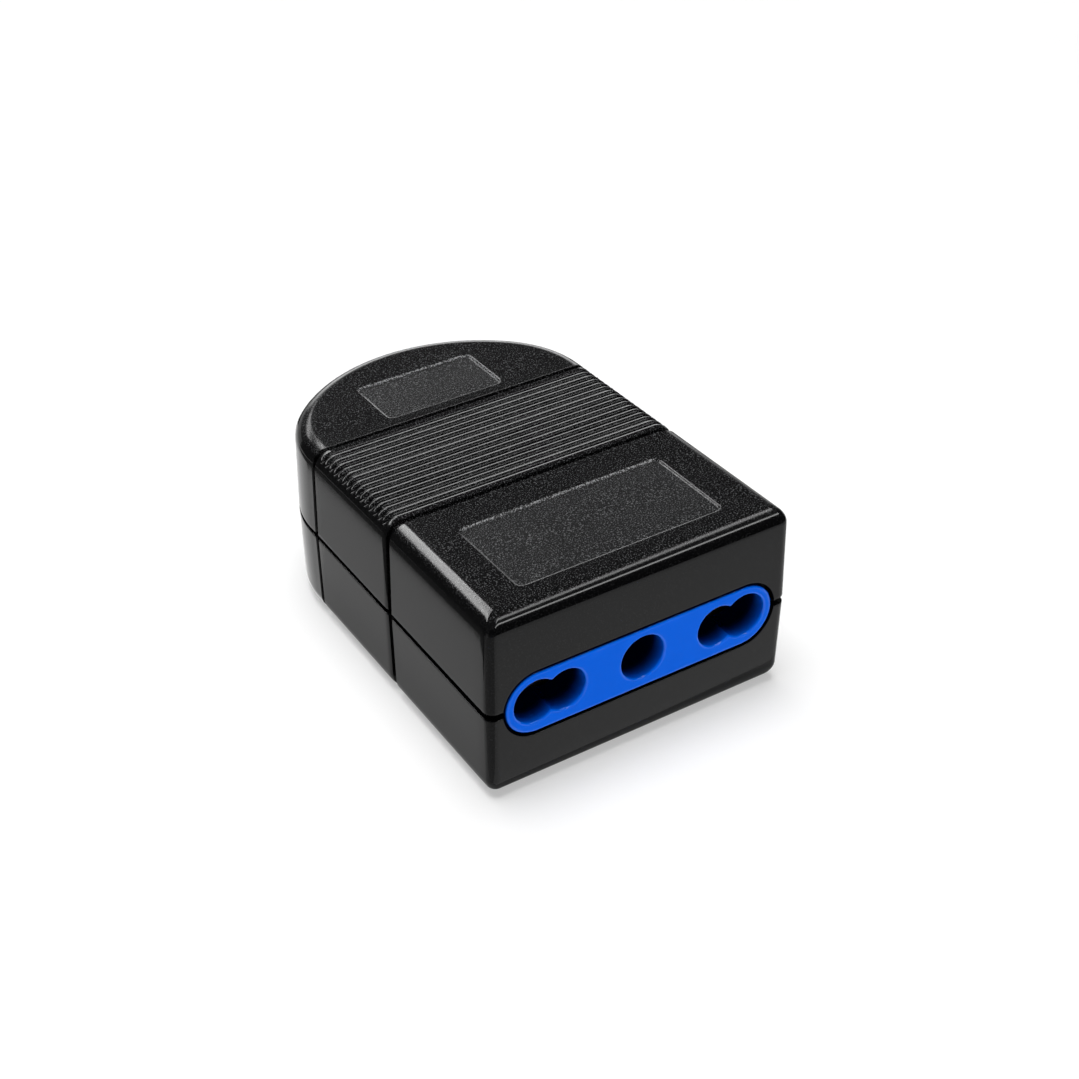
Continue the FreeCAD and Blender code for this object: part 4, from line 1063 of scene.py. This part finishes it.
def floor():
    """Round floor: a pale diffuse surface, with a glow for camera, glossy and transmission rays.

    The glow that camera rays see rises from FLOOR_WHITE near the object to 1 far from it.
    """
    x, y = polar(FLOOR_RADIUS, np.radians(np.arange(0.0, 360.0, 5.0)))
    points = np.stack([x, y, np.full_like(x, -FLOOR_DROP)], -1)
    plane, nodes, out = stage_piece("floor", points, np.arange(len(x))[None, :])
    camera_ray, mirror = ray_kinds(nodes)
    seen = nodes.math("MULTIPLY", nodes.math("MAXIMUM", camera_ray, mirror), FLOOR_GLOW)
    apart = nodes.math("LENGTH", nodes.new("NewGeometry").outputs["Position"], kind="VectorMath")
    far = nodes.remap(apart, *WHITE_REACH, FLOOR_WHITE, 1.0)
    glow = nodes.new("Emission", Strength=nodes.math("MULTIPLY_ADD", camera_ray, far, seen))
    pale = nodes.new("BsdfDiffuse", Color=FLOOR_COLOUR)
    both = nodes.new("AddShader")
    for shader, slot in zip((pale, glow), both.inputs):
        nodes.link(shader.outputs[0], slot)
    nodes.link(both.outputs[0], out)


def surround():
    """White world for camera rays; glossy rays see it white low down, bright at the rear, dim overhead."""
    world = bpy.data.worlds.new("studio")
    bpy.context.scene.world = world
    world.use_nodes = True
    nodes = Nodes(world.node_tree)
    camera_ray, mirror = ray_kinds(nodes)
    where = nodes.new("TexCoord").outputs["Generated"]
    low = nodes.remap(nodes.new("SeparateXYZ", Vector=where).outputs["Z"], *HORIZON, 1.0, OVERHEAD)
    toward = nodes.math("DOT_PRODUCT", where, REAR_GLOW, kind="VectorMath")
    rear = nodes.remap(toward, *REAR_SPREAD, 0.0, REAR_LEVEL)
    extra = nodes.math("SUBTRACT", nodes.math("MAXIMUM", low, rear), AMBIENT)
    level = nodes.math("MULTIPLY_ADD", mirror, extra, AMBIENT)
    lit = nodes.math("MAXIMUM", level, camera_ray)
    nodes.fill(world.node_tree.nodes["Background"], Strength=lit, Color=(1, 1, 1, 1))


def soft_box(name, azimuth, elevation, distance, width, height, power, sheen):
    """An area lamp on a sphere round the object; azimuth runs from +Y towards +X.

    A sheen lamp shows in reflections alone; the others light the surfaces and stay out of reflections.
    """
    lamp = bpy.data.lights.new(name, "AREA")
    lamp.shape = "RECTANGLE"
    lamp.size, lamp.size_y = width, height
    lamp.energy = power
    holder = new_object(name, lamp)
    a, e = math.radians(azimuth), math.radians(elevation)
    way = Vector((math.sin(a) * math.cos(e), math.cos(a) * math.cos(e), math.sin(e)))
    holder.location = way * distance + Vector((0, 0, LAMP_CENTRE))
    holder.rotation_euler = way.to_track_quat("Z", "Y").to_euler()
    holder.visible_camera = False
    holder.visible_diffuse = not sheen
    holder.visible_glossy = sheen


def card(name, points, faces, level):
    """Plain card of an even level, seen by glossy rays alone: it sets what an edge or a wall reflects."""
    piece, nodes, out = stage_piece(name, points, faces)
    for ray in ("camera", "diffuse", "transmission", "volume_scatter", "shadow"):
        setattr(piece, "visible_" + ray, False)
    nodes.link(nodes.new("Emission", Strength=level).outputs[0], out)


def standing_card(name, start, end, level):
    """Low card on an arc round the object, between two bearings from +Y towards +X."""
    y, x = polar(CARD_RADIUS, np.radians(np.linspace(start, end, 19)))
    step = np.arange(len(x) - 1)
    faces = np.stack([step, step + 1, step + 1 + len(x), step + len(x)], -1)
    card(name, join(*(np.stack([x, y, 0 * x + z], -1) for z in (0.0, CARD_HEIGHT))), faces, level)


def lying_card(name, corner, start, end, reach, lift, level):
    """Wedge on the floor from a corner, between two bearings from it."""
    y, x = polar(reach, np.radians(np.linspace(start, end, 9)))
    points = join([(*corner, lift)], np.stack([corner[0] + x, corner[1] + y, 0 * x + lift], -1))
    step = np.arange(1, len(x))
    card(name, points, np.stack([0 * step, step, step + 1], -1), level)


floor()
surround()
for make, rows in ((standing_card, STANDING_CARDS), (lying_card, LYING_CARDS), (soft_box, SOFT_BOXES)):
    for row in rows:
        make(*row)

# Camera, at the photograph's viewing angle
CAMERA_AZIMUTH = math.radians(-32.759)
CAMERA_ELEVATION = math.radians(35.54)
CAMERA_DISTANCE = 223.463
CAMERA_TARGET = Vector((0.0, -0.8, 10.5))
CAMERA_SHIFT = (-3.389, 0.182)
FOCAL_PIXELS = 2001.236
IMAGE_PIXELS = 1079.0
SENSOR = 36.0


def camera():
    """Camera on a sphere round the target; the target lies a little off the middle of the picture."""
    flat = math.cos(CAMERA_ELEVATION)
    side, ahead = math.sin(CAMERA_AZIMUTH), math.cos(CAMERA_AZIMUTH)
    back = Vector((side * flat, -ahead * flat, math.sin(CAMERA_ELEVATION)))
    right = Vector((ahead, side, 0.0))
    up = back.cross(right)
    data = bpy.data.cameras.new("camera")
    data.sensor_width = SENSOR
    data.lens = FOCAL_PIXELS / IMAGE_PIXELS * SENSOR
    data.clip_start, data.clip_end = 0.01, 20.0
    eye = new_object("camera", data)
    place = CAMERA_TARGET - CAMERA_SHIFT[0] * right - CAMERA_SHIFT[1] * up + CAMERA_DISTANCE * back
    eye.matrix_world = Matrix.Translation(place * MM) @ Matrix((right, up, back)).transposed().to_4x4()
    bpy.context.scene.camera = eye


camera()
bpy.context.scene.view_settings.view_transform = "Standard"
